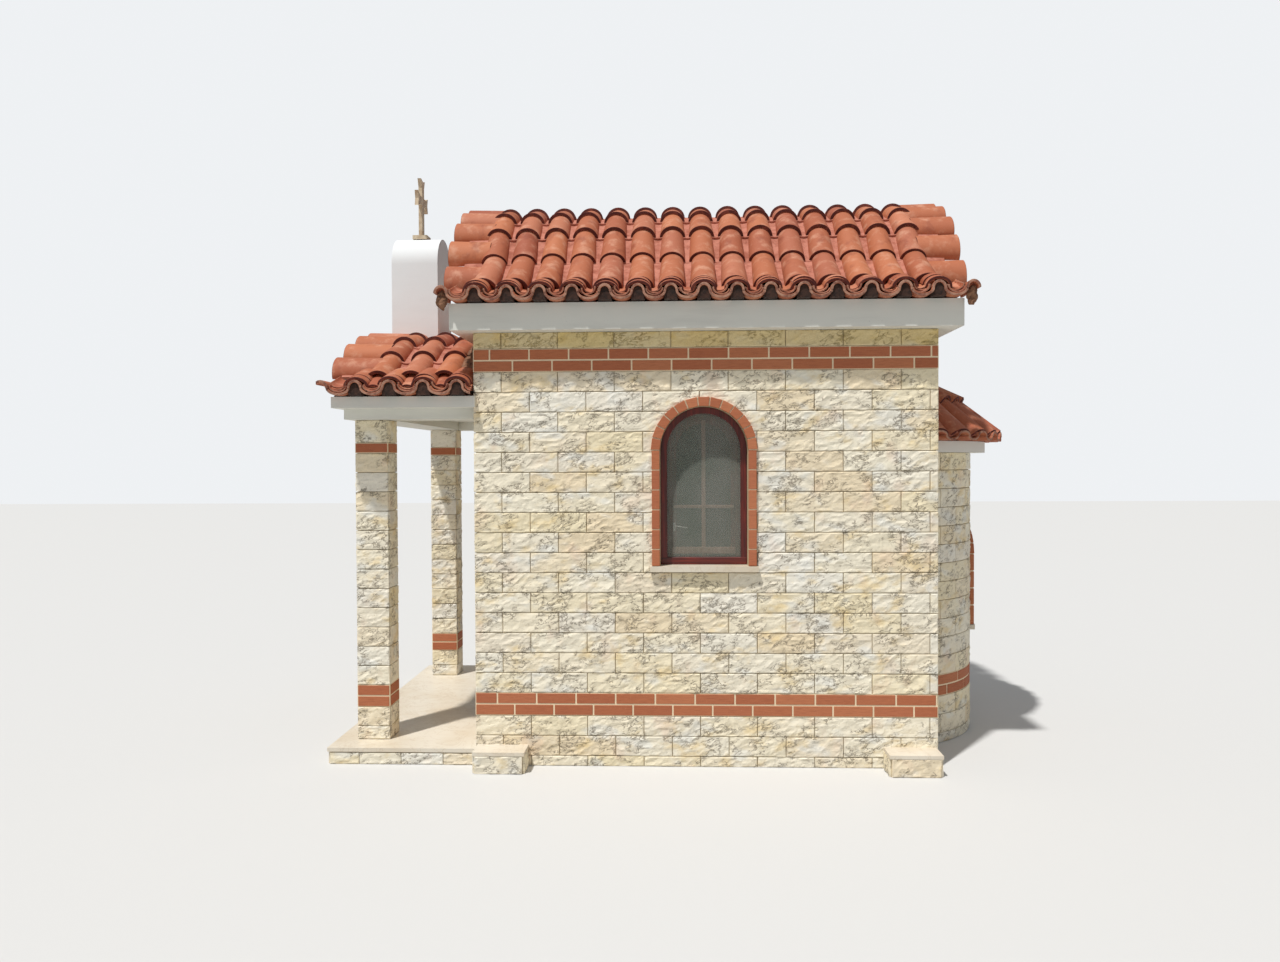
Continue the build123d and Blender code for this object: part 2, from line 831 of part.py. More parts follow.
apse_sill_lip = (
    Pos(apse_axis_x, 0, apse_window_sill_level + sill_thickness / 2)
    * (Cylinder(apse_radius + sill_projection, sill_thickness) - Cylinder(apse_radius, sill_thickness))
    & block(half_length, 3 * nave_length, -apse_sill_half, apse_sill_half, 0, apse_soffit_level)
)
apse_sill_tongue = apse_disc(apse_radius, apse_window_sill_level, apse_sill_top) & block(
    apse_face_x - apse_wall_thickness * 0.9,
    3 * nave_length,
    -apse_window_width / 2,
    apse_window_width / 2,
    0,
    apse_soffit_level,
)
apse_window_sill = apse_sill_lip + apse_sill_tongue

# Door in the west wall, under the porch
threshold_top = floor_level + threshold_height
door_face = door_frame_setback - half_length
threshold = to_west * block(
    -door_width / 2,
    door_width / 2,
    -half_length - threshold_projection,
    -half_length + wall_thickness,
    floor_level,
    threshold_top,
)
door_frame = to_west * arch_ring(
    door_width - 2 * door_frame_width,
    threshold_top,
    door_spring_level,
    door_frame_width,
    door_face,
    door_face + door_frame_depth,
)
leaf_width = door_width - 2 * door_frame_width - 2 * door_gap
leaf_face = door_face + (door_frame_depth - door_leaf_thickness) / 2
door_leaf = to_west * arch_block(
    leaf_width, threshold_top, door_spring_level, leaf_face, leaf_face + door_leaf_thickness
)
door_surround = to_west * arch_ring(
    door_width, porch_floor_level, door_spring_level, surround_width, -half_length - surround_proud, -half_length
)

# Plinths against the long walls, at the corners
plinth_x = half_length - plinth_corner_inset - plinth_width / 2
plinth_solids = []
cap_solids = []
for sign_x in (-1, 1):
    for sign_y in (-1, 1):
        y0 = min(sign_y * half_width, sign_y * (half_width + plinth_depth))
        y1 = max(sign_y * half_width, sign_y * (half_width + plinth_depth))
        x0 = sign_x * plinth_x - plinth_width / 2
        x1 = sign_x * plinth_x + plinth_width / 2
        plinth_solids.append(block(x0, x1, y0, y1, 0, plinth_height))
        lip = plinth_cap_overhang
        cap_y0 = y0 - (lip if sign_y < 0 else 0)
        cap_y1 = y1 + (lip if sign_y > 0 else 0)
        cap_solids.append(
            block(x0 - lip, x1 + lip, cap_y0, cap_y1, plinth_height, plinth_height + plinth_cap_thickness)
        )
corner_plinths = Compound(plinth_solids)
plinth_caps = Compound(cap_solids)

nodes = {
    "nave_floor": nave_floor,
    "south_wall": south_wall,
    "north_wall": north_wall,
    "west_wall": west_wall,
    "east_wall": east_wall,
    "nave_cornice": nave_cornice,
    "nave_vault": nave_vault,
    "west_tympanum": west_tympanum,
    "east_tympanum": east_tympanum,
    "nave_tiles_south": nave_tiles_south,
    "nave_tiles_north": nave_tiles_north,
    "nave_ridge_tiles": nave_ridge_tiles,
    "nave_eave_tiles": nave_eave_tiles,
    "nave_verge_tiles": nave_verge_tiles,
    "apse_floor": apse_floor,
    "apse_wall_south": apse_wall_south,
    "apse_wall_east": apse_wall_east,
    "apse_wall_north": apse_wall_north,
    "apse_cornice": apse_cornice,
    "apse_dome": apse_dome,
    "apse_tiles": apse_tiles,
    "porch_base": porch_base,
    "porch_paving": porch_paving,
    "porch_columns": porch_columns,
    "porch_beam": porch_beam,
    "porch_slab": porch_slab,
    "porch_vault": porch_vault,
    "porch_tympanum": porch_tympanum,
    "porch_tiles_south": porch_tiles_south,
    "porch_tiles_north": porch_tiles_north,
    "porch_ridge_tiles": porch_ridge_tiles,
    "porch_eave_tiles": porch_eave_tiles,
    "porch_verge_tiles": porch_verge_tiles,
    "belfry": belfry,
    "cross": cross,
    "window_frames": Compound([south_window_frame, north_window_frame, apse_window_frame]),
    "window_glass": Compound([south_window_glass, north_window_glass, apse_window_glass]),
    "window_surrounds": Compound([south_window_surround, north_window_surround, apse_window_surround]),
    "window_sills": Compound([south_window_sill, north_window_sill, apse_window_sill]),
    "threshold": threshold,
    "door_frame": door_frame,
    "door_leaf": door_leaf,
    "door_surround": door_surround,
    "corner_plinths": corner_plinths,
    "plinth_caps": plinth_caps,
}

for name, shape in nodes.items():
    export_step(shape, f"parts/{name}.step")
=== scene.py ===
"""Dresses a small stone chapel: split-faced stones, brick bands, clay tiles, windows, porch and stage."""

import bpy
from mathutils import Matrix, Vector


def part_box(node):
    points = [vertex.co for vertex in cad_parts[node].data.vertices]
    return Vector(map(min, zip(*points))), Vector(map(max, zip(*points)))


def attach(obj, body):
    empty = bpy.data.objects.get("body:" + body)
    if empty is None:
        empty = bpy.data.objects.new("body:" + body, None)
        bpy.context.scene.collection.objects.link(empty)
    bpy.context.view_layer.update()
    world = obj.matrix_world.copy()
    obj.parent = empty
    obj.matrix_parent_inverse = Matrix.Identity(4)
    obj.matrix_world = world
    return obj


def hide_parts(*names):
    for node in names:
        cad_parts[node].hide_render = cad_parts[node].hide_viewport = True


bl_info = {
    "name": "Small Chapel",
    "version": (1, 0, 0),
    "blender": (4, 5, 0),
    "location": "View3D > Sidebar > Chapel",
    "description": "Builds the stones, bricks, tiles and finishes of a small chapel",
    "category": "Object",
}

import math
import random
from collections import namedtuple
from contextlib import contextmanager

import bmesh
import bpy
from mathutils import Matrix, Vector

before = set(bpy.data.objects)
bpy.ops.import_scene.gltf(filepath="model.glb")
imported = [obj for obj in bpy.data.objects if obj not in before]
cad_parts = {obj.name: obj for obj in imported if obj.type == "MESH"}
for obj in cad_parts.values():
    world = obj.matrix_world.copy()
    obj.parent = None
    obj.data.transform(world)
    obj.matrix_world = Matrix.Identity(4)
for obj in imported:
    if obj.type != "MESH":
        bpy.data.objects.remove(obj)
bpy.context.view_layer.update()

UP = Vector((0, 0, 1))
SOUTH = Vector((0, -1, 0))
NORTH = Vector((0, 1, 0))
WEST = Vector((-1, 0, 0))
EAST = Vector((1, 0, 0))

# Measures read from the frame
WALL_LOW, WALL_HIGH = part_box("south_wall")
WALL_X = WALL_HIGH.x
WALL_Y = -WALL_LOW.y
SOFFIT = WALL_HIGH.z
APSE_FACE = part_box("apse_wall_east")[1].x


def paint(red, green, blue):
    """A colour written in the usual 0 to 255 values, as Blender's linear colour."""
    return tuple(math.pow((value / 255 + 0.055) / 1.055, 2.4) for value in (red, green, blue))


def darker(color, share):
    """A colour at a share of its light."""
    return tuple(share * value for value in color)


class Socket:
    """An output in a node tree. Arithmetic on it adds Math nodes."""

    def __init__(self, finish, output):
        self.finish = finish
        self.output = output

    def math(self, operation, *values):
        inputs = dict(enumerate(values))
        return self.finish.node("ShaderNodeMath", {"operation": operation}, inputs)

    def __add__(self, other):
        return self.math("ADD", self, other)

    def __radd__(self, other):
        return self.math("ADD", other, self)

    def __sub__(self, other):
        return self.math("SUBTRACT", self, other)

    def __rsub__(self, other):
        return self.math("SUBTRACT", other, self)

    def __mul__(self, other):
        return self.math("MULTIPLY", self, other)

    def __rmul__(self, other):
        return self.math("MULTIPLY", other, self)

    def __abs__(self):
        return self.math("ABSOLUTE", self)

    def maximum(self, other):
        return self.math("MAXIMUM", self, other)

    def between(self, low, high):
        """A smooth step from 0 below low to 1 above high."""
        settings = {"interpolation_type": "SMOOTHSTEP"}
        inputs = {"Value": self, "From Min": low, "From Max": high}
        return self.finish.node("ShaderNodeMapRange", settings, inputs)


class Finish:
    """A procedural material on a Principled shader."""

    def __init__(self, name, roughness=0.7):
        self.material = bpy.data.materials.new(name)
        self.material.use_nodes = True
        self.tree = self.material.node_tree
        self.shader = self.tree.nodes["Principled BSDF"]
        self.shader.inputs["Roughness"].default_value = roughness
        self.place = self.node("ShaderNodeTexCoord", output="Object")

    def wire(self, value, socket):
        """Links a Socket, or writes a number or colour."""
        if isinstance(value, Socket):
            self.tree.links.new(value.output, socket)
        elif socket.type == "RGBA":
            socket.default_value = (*value[:3], 1)
        else:
            socket.default_value = value

    def node(self, kind, settings=None, inputs=None, output=0):
        """Adds a node: its settings first, then the values or links of its inputs."""
        made = self.tree.nodes.new(kind)
        for name, value in (settings or {}).items():
            if name == "stops":
                self.fill_ramp(made.color_ramp, value)
            else:
                setattr(made, name, value)
        for name, value in (inputs or {}).items():
            self.wire(value, made.inputs[name])
        return Socket(self, made.outputs[output])

    @staticmethod
    def fill_ramp(ramp, stops):
        while len(ramp.elements) < len(stops):
            ramp.elements.new(0.5)
        for element, (position, color) in zip(ramp.elements, stops):
            element.position = position
            element.color = (*color[:3], 1)

    def stretched(self, x, y, z):
        """Object coordinates multiplied per axis."""
        return self.node("ShaderNodeVectorMath", {"operation": "MULTIPLY"}, {0: self.place, 1: (x, y, z)})

    def slanted(self, degrees, scale):
        """Object coordinates turned and scaled, for a pattern that runs up a slant on every wall."""
        slope = math.radians(degrees)
        inputs = {"Vector": self.place, "Rotation": (slope, -slope, 0), "Scale": scale}
        return self.node("ShaderNodeMapping", {"vector_type": "TEXTURE"}, inputs)

    def line(self, value, width):
        """A thin line where a value passes its middle."""
        return 1 - abs(value - 0.5).between(0.0, width)

    def noise(self, scale, detail=3.0, roughness=0.5, place=None, distortion=0.0):
        inputs = {
            "Vector": place or self.place,
            "Scale": scale,
            "Detail": detail,
            "Roughness": roughness,
            "Distortion": distortion,
        }
        return self.node("ShaderNodeTexNoise", None, inputs)

    def ramp(self, value, *stops):
        return self.node("ShaderNodeValToRGB", {"stops": stops}, {"Fac": value})

    def tones(self, *stops):
        """A tone for each separate stone, brick or tile. A stop is a position and a colour."""
        island = self.node("ShaderNodeNewGeometry", output="Random Per Island")
        return self.ramp(island, *((position, paint(*color)) for position, *color in stops))

    def mix(self, factor, one, other):
        settings = {"data_type": "RGBA", "blend_type": "MIX"}
        return self.node("ShaderNodeMix", settings, {0: factor, 6: one, 7: other}, 2)

    def bump(self, height, strength, distance, under=None):
        inputs = {"Height": height, "Strength": strength, "Distance": distance}
        if under is not None:
            inputs["Normal"] = under
        return self.node("ShaderNodeBump", None, inputs)

    def set(self, **values):
        for name, value in values.items():
            self.wire(value, self.shader.inputs[name.replace("_", " ")])
        return self


def stone_finish():
    """Split cream limestone with ochre and grey-white patches, broken ridges and painted shadow in the cracks
    between them.
    """
    f = Finish("split_limestone", 0.85)
    tone = f.tones(
        (0.0, 248, 238, 214),
        (0.2, 242, 228, 192),
        (0.4, 244, 240, 228),
        (0.6, 238, 220, 186),
        (0.8, 248, 240, 218),
        (1.0, 240, 231, 210),
    )
    ochre = f.noise(8.0, 3.0, 0.6, f.slanted(15, (1.5, 1.5, 0.8))).between(0.53, 0.72)
    grey = f.noise(7.0, 2.0, 0.5, f.slanted(-12, (1.4, 1.4, 0.8))).between(0.54, 0.7)
    rose = f.noise(5.0, 2.0, 0.5, f.stretched(1.3, 1.3, 0.9)).between(0.58, 0.75)
    color = f.mix(ochre * 0.6, tone, paint(232, 204, 142))
    color = f.mix(grey * 0.6, color, paint(234, 235, 230))
    color = f.mix(rose * 0.35, color, paint(232, 198, 170))
    split = f.noise(19.0, 6.0, 0.68, f.slanted(SPLIT_SLANT, (1.6, 1.6, 0.75)), 0.4)
    broken = f.noise(9.0, 2.0, 0.5).between(0.46, 0.56)
    crack_shade = f.line(split, 0.026) * broken
    pits = f.noise(52.0, 4.0, 0.65, f.slanted(SPLIT_SLANT, (1.6, 1.6, 0.8))).between(0.6, 0.7)
    color = f.mix(pits * 0.4, color, paint(158, 132, 92))
    # Painted shadow: the thin cracks between the split ridges are drawn dark.
    color = f.mix(crack_shade * 0.8, color, paint(112, 90, 62))
    grain = f.noise(160.0, 2.0, 0.6)
    color = f.mix(grain.between(0.3, 0.8) * 0.2, color, paint(250, 246, 232))
    # The top course, under the cornice, is mixed towards a darker ochre: partly an ochre stone, partly
    # painted shade under the eave
    level = f.node("ShaderNodeSeparateXYZ", None, {0: f.place}, "Z")
    color = f.mix(level.between(2.61, 2.65) * 0.6, color, paint(206, 178, 92))
    relief = f.bump(split, 0.4, 0.012)
    relief = f.bump(abs(split - 0.5), 0.5, 0.012, relief)
    relief = f.bump(1 - crack_shade, 0.6, 0.006, relief)
    relief = f.bump(f.noise(70.0, 5.0, 0.7), 0.6, 0.006, relief)
    return f.set(Base_Color=color, Normal=relief).material


def brick_finish():
    """Fired clay brick with a wire-cut grain."""
    f = Finish("fired_brick", 0.8)
    tone = f.tones((0.0, 186, 112, 74), (0.35, 176, 102, 68), (0.7, 192, 120, 82), (1.0, 182, 108, 74))
    grain = f.noise(14.0, 4.0, 0.6, f.stretched(1.0, 1.0, 14.0))
    color = f.mix(grain.between(0.4, 0.75) * 0.35, tone, paint(128, 62, 42))
    specks = f.noise(220.0, 2.0, 0.5).between(0.62, 0.75)
    color = f.mix(specks * 0.3, color, paint(214, 160, 124))
    relief = f.bump(grain, 0.3, 0.003)
    relief = f.bump(f.noise(180.0, 3.0, 0.6), 0.25, 0.0015, relief)
    return f.set(Base_Color=color, Normal=relief).material


def joint_finish(name, color):
    """Sandy pointing mortar."""
    f = Finish(name, 0.95)
    sand = f.noise(240.0, 3.0, 0.7)
    wash = f.noise(6.0, 3.0, 0.5)
    shade = f.mix(wash.between(0.35, 0.7) * 0.4, color, darker(color, 0.75))
    shade = f.mix(sand.between(0.5, 0.75) * 0.3, shade, darker(color, 0.55))
    return f.set(Base_Color=shade, Normal=f.bump(sand, 0.4, 0.003)).material


def clay_finish():
    """Terracotta roof tile, with a pale bloom and darker scorched patches."""
    f = Finish("terracotta_tile", 0.72)
    tone = f.tones(
        (0.0, 182, 106, 70), (0.25, 168, 92, 62), (0.5, 192, 116, 78),
        (0.75, 162, 86, 60), (1.0, 196, 124, 92)
    )
    bloom = f.noise(11.0, 4.0, 0.6).between(0.48, 0.72)
    scorch = f.noise(8.0, 3.0, 0.55, f.stretched(1.2, 0.8, 1.0)).between(0.54, 0.74)
    color = f.mix(bloom * 0.5, tone, paint(220, 168, 140))
    color = f.mix(scorch * 0.55, color, paint(136, 64, 42))
    specks = f.noise(140.0, 3.0, 0.6)
    color = f.mix(specks.between(0.58, 0.75) * 0.3, color, paint(130, 64, 46))
    relief = f.bump(f.noise(30.0, 4.0, 0.55), 0.25, 0.004)
    relief = f.bump(specks, 0.25, 0.0015, relief)
    return f.set(Base_Color=color, Normal=relief).material


def patchy_finish(name, roughness, patch, limits, tones, stain=None, bump=(0.4, 0.004)):
    """A finish that drifts between two tones, under a stain where one is given."""
    f = Finish(name, roughness)
    drift = f.noise(*patch)
    color = f.mix(drift.between(*limits), *tones)
    if stain:
        scale, low, high, strength, tint = stain
        color = f.mix(f.noise(scale, 3.0, 0.6).between(low, high) * strength, color, tint)
    return f.set(Base_Color=color, Normal=f.bump(drift, *bump)).material


def tile_end_shade_finish():
    """The dark red broken ends of the tiles, darker still as painted shade where the ends face down."""
    tones = paint(84, 34, 27), paint(124, 60, 46)
    return patchy_finish("terracotta_edge", 0.85, (26.0, 4.0, 0.6), (0.45, 0.75), tones)


def eave_edge_finish():
    """The weathered front edges of the eave tiles."""
    tones = paint(176, 132, 110), paint(120, 74, 60)
    stain = (44.0, 0.56, 0.72, 0.75, paint(70, 46, 38))
    return patchy_finish("weathered_eave_edge", 0.85, (18.0, 4.0, 0.65), (0.4, 0.65), tones, stain)


def shaded_pan_finish():
    """Pink mortar and clay channel tiles between the covers, darkened in part as painted shade between the
    covers.
    """
    tones = paint(196, 130, 110), paint(162, 94, 74)
    stain = (40.0, 0.56, 0.78, 0.6, paint(104, 56, 44))
    return patchy_finish("pink_bedding", 0.9, (16.0, 4.0, 0.6), (0.35, 0.7), tones, stain, (0.5, 0.006))


def rough_mortar_finish(name, *tones):
    """Brown ragged mortar under and behind the tiles."""
    return patchy_finish(name, 0.95, (34.0, 5.0, 0.65), (0.35, 0.7), tones, bump=(0.7, 0.01))


def painted_finish(name, color, streak):
    """Painted concrete or plaster with faint streaks and trowel marks."""
    f = Finish(name, 0.75)
    run = f.noise(3.0, 4.0, 0.55, f.stretched(0.6, 0.6, 4.0)).between(0.45, 0.8)
    shade = f.mix(run * streak, color, darker(color, 0.72))
    spot = f.noise(28.0, 3.0, 0.6).between(0.66, 0.8)
    shade = f.mix(spot * streak, shade, darker(color, 0.6))
    relief = f.bump(f.noise(9.0, 4.0, 0.5), 0.25, 0.006)
    relief = f.bump(f.noise(130.0, 3.0, 0.6), 0.15, 0.0015, relief)
    return f.set(Base_Color=shade, Normal=relief).material


def marble_finish():
    """Honed cream marble with soft veins."""
    f = Finish("cream_marble", 0.42)
    cloud = f.noise(2.6, 4.0, 0.55)
    vein = f.noise(3.4, 6.0, 0.6, distortion=2.4)
    color = f.mix(cloud.between(0.35, 0.7), paint(228, 220, 204), paint(217, 204, 182))
    color = f.mix(f.line(vein, 0.03) * 0.3, color, paint(190, 169, 140))
    return f.set(Base_Color=color, Normal=f.bump(f.noise(60.0, 3.0, 0.5), 0.08, 0.001)).material


def concrete_finish():
    """Bare cast concrete."""
    f = Finish("cast_concrete", 0.9)
    cloud = f.noise(4.0, 4.0, 0.6)
    pores = f.noise(90.0, 3.0, 0.6)
    color = f.mix(cloud.between(0.3, 0.7), paint(178, 172, 162), paint(150, 144, 134))
    color = f.mix(pores.between(0.6, 0.75) * 0.5, color, paint(110, 104, 96))
    return f.set(Base_Color=color, Normal=f.bump(pores, 0.3, 0.002)).material


MAHOGANY = (paint(58, 12, 8), paint(94, 22, 14), paint(122, 36, 22))
# A paler copy of the mahogany, for the window bars: painted light where the sun falls on them.
SUNLIT_TIMBER_PAINTED = (paint(168, 124, 104), paint(190, 150, 128), paint(204, 168, 146))


def wood_finish(name="varnished_mahogany", length_axis=2, tones=MAHOGANY):
    """Varnished timber with its grain along one axis."""
    f = Finish(name, 0.45)
    across = [26.0, 26.0, 26.0]
    across[length_axis] = 1.6
    grain = f.noise(3.0, 5.0, 0.6, f.stretched(*across), 0.6)
    fine = f.noise(10.0, 3.0, 0.6, f.stretched(*across))
    color = f.ramp(grain, *zip((0.3, 0.5, 0.7), tones))
    color = f.mix(fine.between(0.55, 0.8) * 0.5, color, darker(tones[0], 0.55))
    f.set(Base_Color=color, Normal=f.bump(fine, 0.12, 0.001), Coat_Weight=0.2, Coat_Roughness=0.15)
    return f.material


def glass_finish():
    """A window pane drawn dark green, as painted shade of the room behind and a painted reflection of
    foliage, that lets the room show faintly.
    """
    f = Finish("window_pane", 0.06)
    tint = f.noise(3.0, 2.0, 0.5)
    color = f.mix(tint.between(0.3, 0.7), paint(18, 34, 28), paint(30, 46, 38))
    return f.set(Base_Color=color, Alpha=0.88).material


def screen_finish():
    """A grey insect screen, woven so finely that it reads as a veil."""
    f = Finish("insect_screen", 0.9)
    threads = {"Scale": 160.0, "Vector": f.place}
    warp, weft = (f.node("ShaderNodeTexWave", {"bands_direction": axis}, threads) for axis in "XZ")
    dust = f.noise(5.0, 3.0, 0.5)
    color = f.mix(dust.between(0.3, 0.7), paint(150, 152, 144), paint(136, 142, 132))
    return f.set(Base_Color=color, Alpha=warp.maximum(weft) * 0.05 + 0.35).material


def pale_stone_finish():
    """Cream dressed stone of the cross."""
    f = Finish("dressed_cream_stone", 0.6)
    cloud = f.noise(18.0, 4.0, 0.6)
    color = f.mix(cloud.between(0.35, 0.7), paint(214, 196, 168), paint(178, 152, 122))
    return f.set(Base_Color=color, Normal=f.bump(f.noise(120.0, 4.0, 0.6), 0.3, 0.0015)).material


def metal_finish(name, bright, worn):
    """Worn metal of a latch or handle."""
    f = Finish(name, 0.35)
    wear = f.noise(60.0, 3.0, 0.6)
    return f.set(Base_Color=f.mix(wear.between(0.4, 0.7), bright, worn), Metallic=1.0).material


def stage_finish():
    """The plain pale floor, which throws less light back at the walls than it shows."""
    f = Finish("pale_floor", 0.9)
    rays = ("Is Camera Ray", "Is Glossy Ray", "Is Transmission Ray")
    camera, glossy, passing = (f.node("ShaderNodeLightPath", output=ray) for ray in rays)
    shows = camera.maximum(glossy.maximum(passing))
    return f.set(Base_Color=f.mix(shows, paint(196, 195, 192), paint(214, 214, 213))).material


MAKERS = {
    "stone": stone_finish,
    "brick": brick_finish,
    "stone_joint": lambda: joint_finish("stone_pointing", paint(200, 182, 148)),
    "brick_joint": lambda: joint_finish("brick_pointing", paint(246, 226, 192)),
    "clay": clay_finish,
    "clay_edge": tile_end_shade_finish,
    "eave_edge": eave_edge_finish,
    "pan": shaded_pan_finish,
    "ragged_mortar": lambda: rough_mortar_finish("ragged_mortar", paint(150, 110, 84), paint(84, 56, 42)),
    # Near-black mortar plugs: painted shade in the deep mouths under the eave crests.
    "eave_mortar": lambda: rough_mortar_finish("sooty_eave_mortar", paint(66, 42, 32), paint(34, 22, 17)),
    "white_paint": lambda: painted_finish("white_masonry_paint", paint(226, 226, 218), 0.35),
    "plaster": lambda: painted_finish("white_plaster", paint(236, 239, 240), 0.1),
    "marble": marble_finish,
    "concrete": concrete_finish,
    "wood": wood_finish,
    "wood_across": lambda: wood_finish("varnished_mahogany_rail", 0),
    "bar": lambda: wood_finish("faded_bar_timber", 2, SUNLIT_TIMBER_PAINTED),
    "glass": glass_finish,
    "screen": screen_finish,
    "pale_stone": pale_stone_finish,
    "brass": lambda: metal_finish("worn_brass", paint(196, 160, 96), paint(138, 106, 60)),
    "nickel": lambda: metal_finish("satin_nickel", paint(232, 230, 224), paint(196, 192, 184)),
    "floor": stage_finish,
}
FINISHES = {}


def finish(name):
    """The material of a given name, made on first use."""
    if name not in FINISHES:
        FINISHES[name] = MAKERS[name]()
    return FINISHES[name]


# Small tools that work as a modeller's hand does


def at(x, y, z):
    return Matrix.Translation((x, y, z))


def select_only(*objects):
    """Selects these objects and no other, and makes the first one active."""
    bpy.ops.object.select_all(action="DESELECT")
    for one in objects:
        one.select_set(True)
    bpy.context.view_layer.objects.active = objects[0]


def give(thing, *names):
    """Fills an object's material slots and leaves its faces on their slots."""
    slots = thing.data.materials
    for place, name in enumerate(names):
        if place < len(slots):
            slots[place] = finish(name)
        else:
            slots.append(finish(name))
    return thing


def apply_place(thing, scale=None):
    """Moves an object's place, turn and scale into its mesh."""
    if scale:
        thing.scale = scale
    select_only(thing)
    bpy.ops.object.transform_apply(location=True, rotation=True, scale=True)
    return thing


def apply_modifier(thing, kind, **settings):
    """Adds a modifier, sets it and applies it."""
    select_only(thing)
    added = thing.modifiers.new(kind.title(), kind)
    for name, value in settings.items():
        setattr(added, name, value)
    bpy.ops.object.modifier_apply(modifier=added.name)
    return thing


TEXTURES = {}


def displace(thing, name, kind, pattern, **settings):
    """Pushes a surface in and out by a procedural texture, which is made on first use."""
    if name not in TEXTURES:
        TEXTURES[name] = bpy.data.textures.new(name, kind)
        for key, value in pattern.items():
            setattr(TEXTURES[name], key, value)
    return apply_modifier(thing, "DISPLACE", texture=TEXTURES[name], direction="NORMAL", **settings)


def add_box(low, high):
    """A box primitive between two corners, its place in its mesh."""
    low, high = Vector(low), Vector(high)
    bpy.ops.object.select_all(action="DESELECT")
    bpy.ops.mesh.primitive_cube_add(size=1, location=(low + high) / 2, scale=high - low)
    return apply_place(bpy.context.object)


def add_tube(sides, radius, depth, middle, turn=(math.pi / 2, 0, 0), ends="NOTHING"):
    """A cylinder primitive, laid along Y unless it is turned another way, its place in its mesh."""
    bpy.ops.object.select_all(action="DESELECT")
    bpy.ops.mesh.primitive_cylinder_add(
        vertices=sides, radius=radius, depth=depth, end_fill_type=ends, location=middle, rotation=turn
    )
    return apply_place(bpy.context.object)


def bevel(thing, width, segments=2):
    """Rounds an object's edges."""
    return apply_modifier(
        thing, "BEVEL", width=width, segments=segments, limit_method="ANGLE", harden_normals=False
    )


@contextmanager
def editing(thing):
    """Edit mode on one object, all of which starts selected."""
    select_only(thing)
    bpy.ops.object.mode_set(mode="EDIT")
    bpy.ops.mesh.select_all(action="SELECT")
    yield
    bpy.ops.object.mode_set(mode="OBJECT")


def pick(thing, test, kind="VERT"):
    """In edit mode, selects the vertices or faces whose place passes a test."""
    bpy.ops.mesh.select_mode(type=kind)
    bpy.ops.mesh.select_all(action="DESELECT")
    mesh = bmesh.from_edit_mesh(thing.data)
    for one in mesh.verts if kind == "VERT" else mesh.faces:
        one.select_set(test(one.co if kind == "VERT" else one.calc_center_median()))
    mesh.select_flush_mode()
    bmesh.update_edit_mesh(thing.data)


def clear_faces(thing, test):
    """Deletes the faces whose middle passes a test."""
    with editing(thing):
        pick(thing, test, "FACE")
        bpy.ops.mesh.delete(type="FACE")


def cut_off(thing, point, normal, fill=False):
    """Removes what lies in front of a plane."""
    with editing(thing):
        bpy.ops.mesh.bisect(plane_co=point, plane_no=normal, clear_outer=True, use_fill=fill)


def copy_at(master, matrix):
    """A copy with its own mesh, moved by a matrix."""
    twin = master.copy()
    twin.data = master.data.copy()
    twin.data.transform(matrix)
    bpy.context.scene.collection.objects.link(twin)
    return twin


def join(things, name):
    """Joins objects into one named piece."""
    select_only(*things)
    if len(things) > 1:
        bpy.ops.object.join()
    piece = bpy.context.view_layer.objects.active
    piece.name = name
    piece.data.name = name
    return piece


def discard(*things):
    for one in things:
        bpy.data.objects.remove(one)


def settle(piece, slot, *replaced):
    """Attaches a finished piece to the root and hides the nodes that it stands for. Its slot is not used."""
    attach(piece, "root")
    if replaced:
        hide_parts(*replaced)
    return piece


def smooth(piece, degrees=40):
    select_only(piece)
    bpy.ops.object.shade_smooth_by_angle(angle=math.radians(degrees))
    return piece


def metres(name, description, default):
    """A length that a user may change, in metres."""
    return bpy.props.FloatProperty(name=name, description=description, default=default, unit="LENGTH")


def factor(name, description, default):
    """A ratio or a strength that a user may change."""
    return bpy.props.FloatProperty(name=name, description=description, default=default, subtype="FACTOR")


# Stonework

SPLIT_SLANT = 17
SPLIT_STRETCH = (1.35, 1.35, 0.7)
SPLIT_CELL = (0.016, 0.015)
LEAST_WIDTH = 0.03


class StoneSettings(bpy.types.PropertyGroup):
    length: metres("Stone length", "Distance from one stone to the next", 0.356)
    height: metres("Course height", "Distance from one course to the next", 0.1264)
    joint: metres("Joint", "Width of the gap between stones", 0.005)
    margin: metres("Margin", "Flat border round each split face", 0.007)
    proud: metres("Thickness", "How far the stones stand in front of the wall", 0.011)
    relief: metres("Relief", "Depth of the split faces", 0.011)


class BrickSettings(bpy.types.PropertyGroup):
    length: metres("Brick length", "Distance from one brick to the next", 0.250)
    height: metres("Row height", "Distance from one row to the next", 0.0725)
    joint: metres("Joint", "Width of the mortar between bricks", 0.010)
    proud: metres("Thickness", "How far the bricks stand in front of the wall", 0.013)
    lower_band: metres("Lower band", "Height of the lower band's underside", 0.319)
    upper_band: metres("Upper band", "Height of the upper band's underside", 2.487)


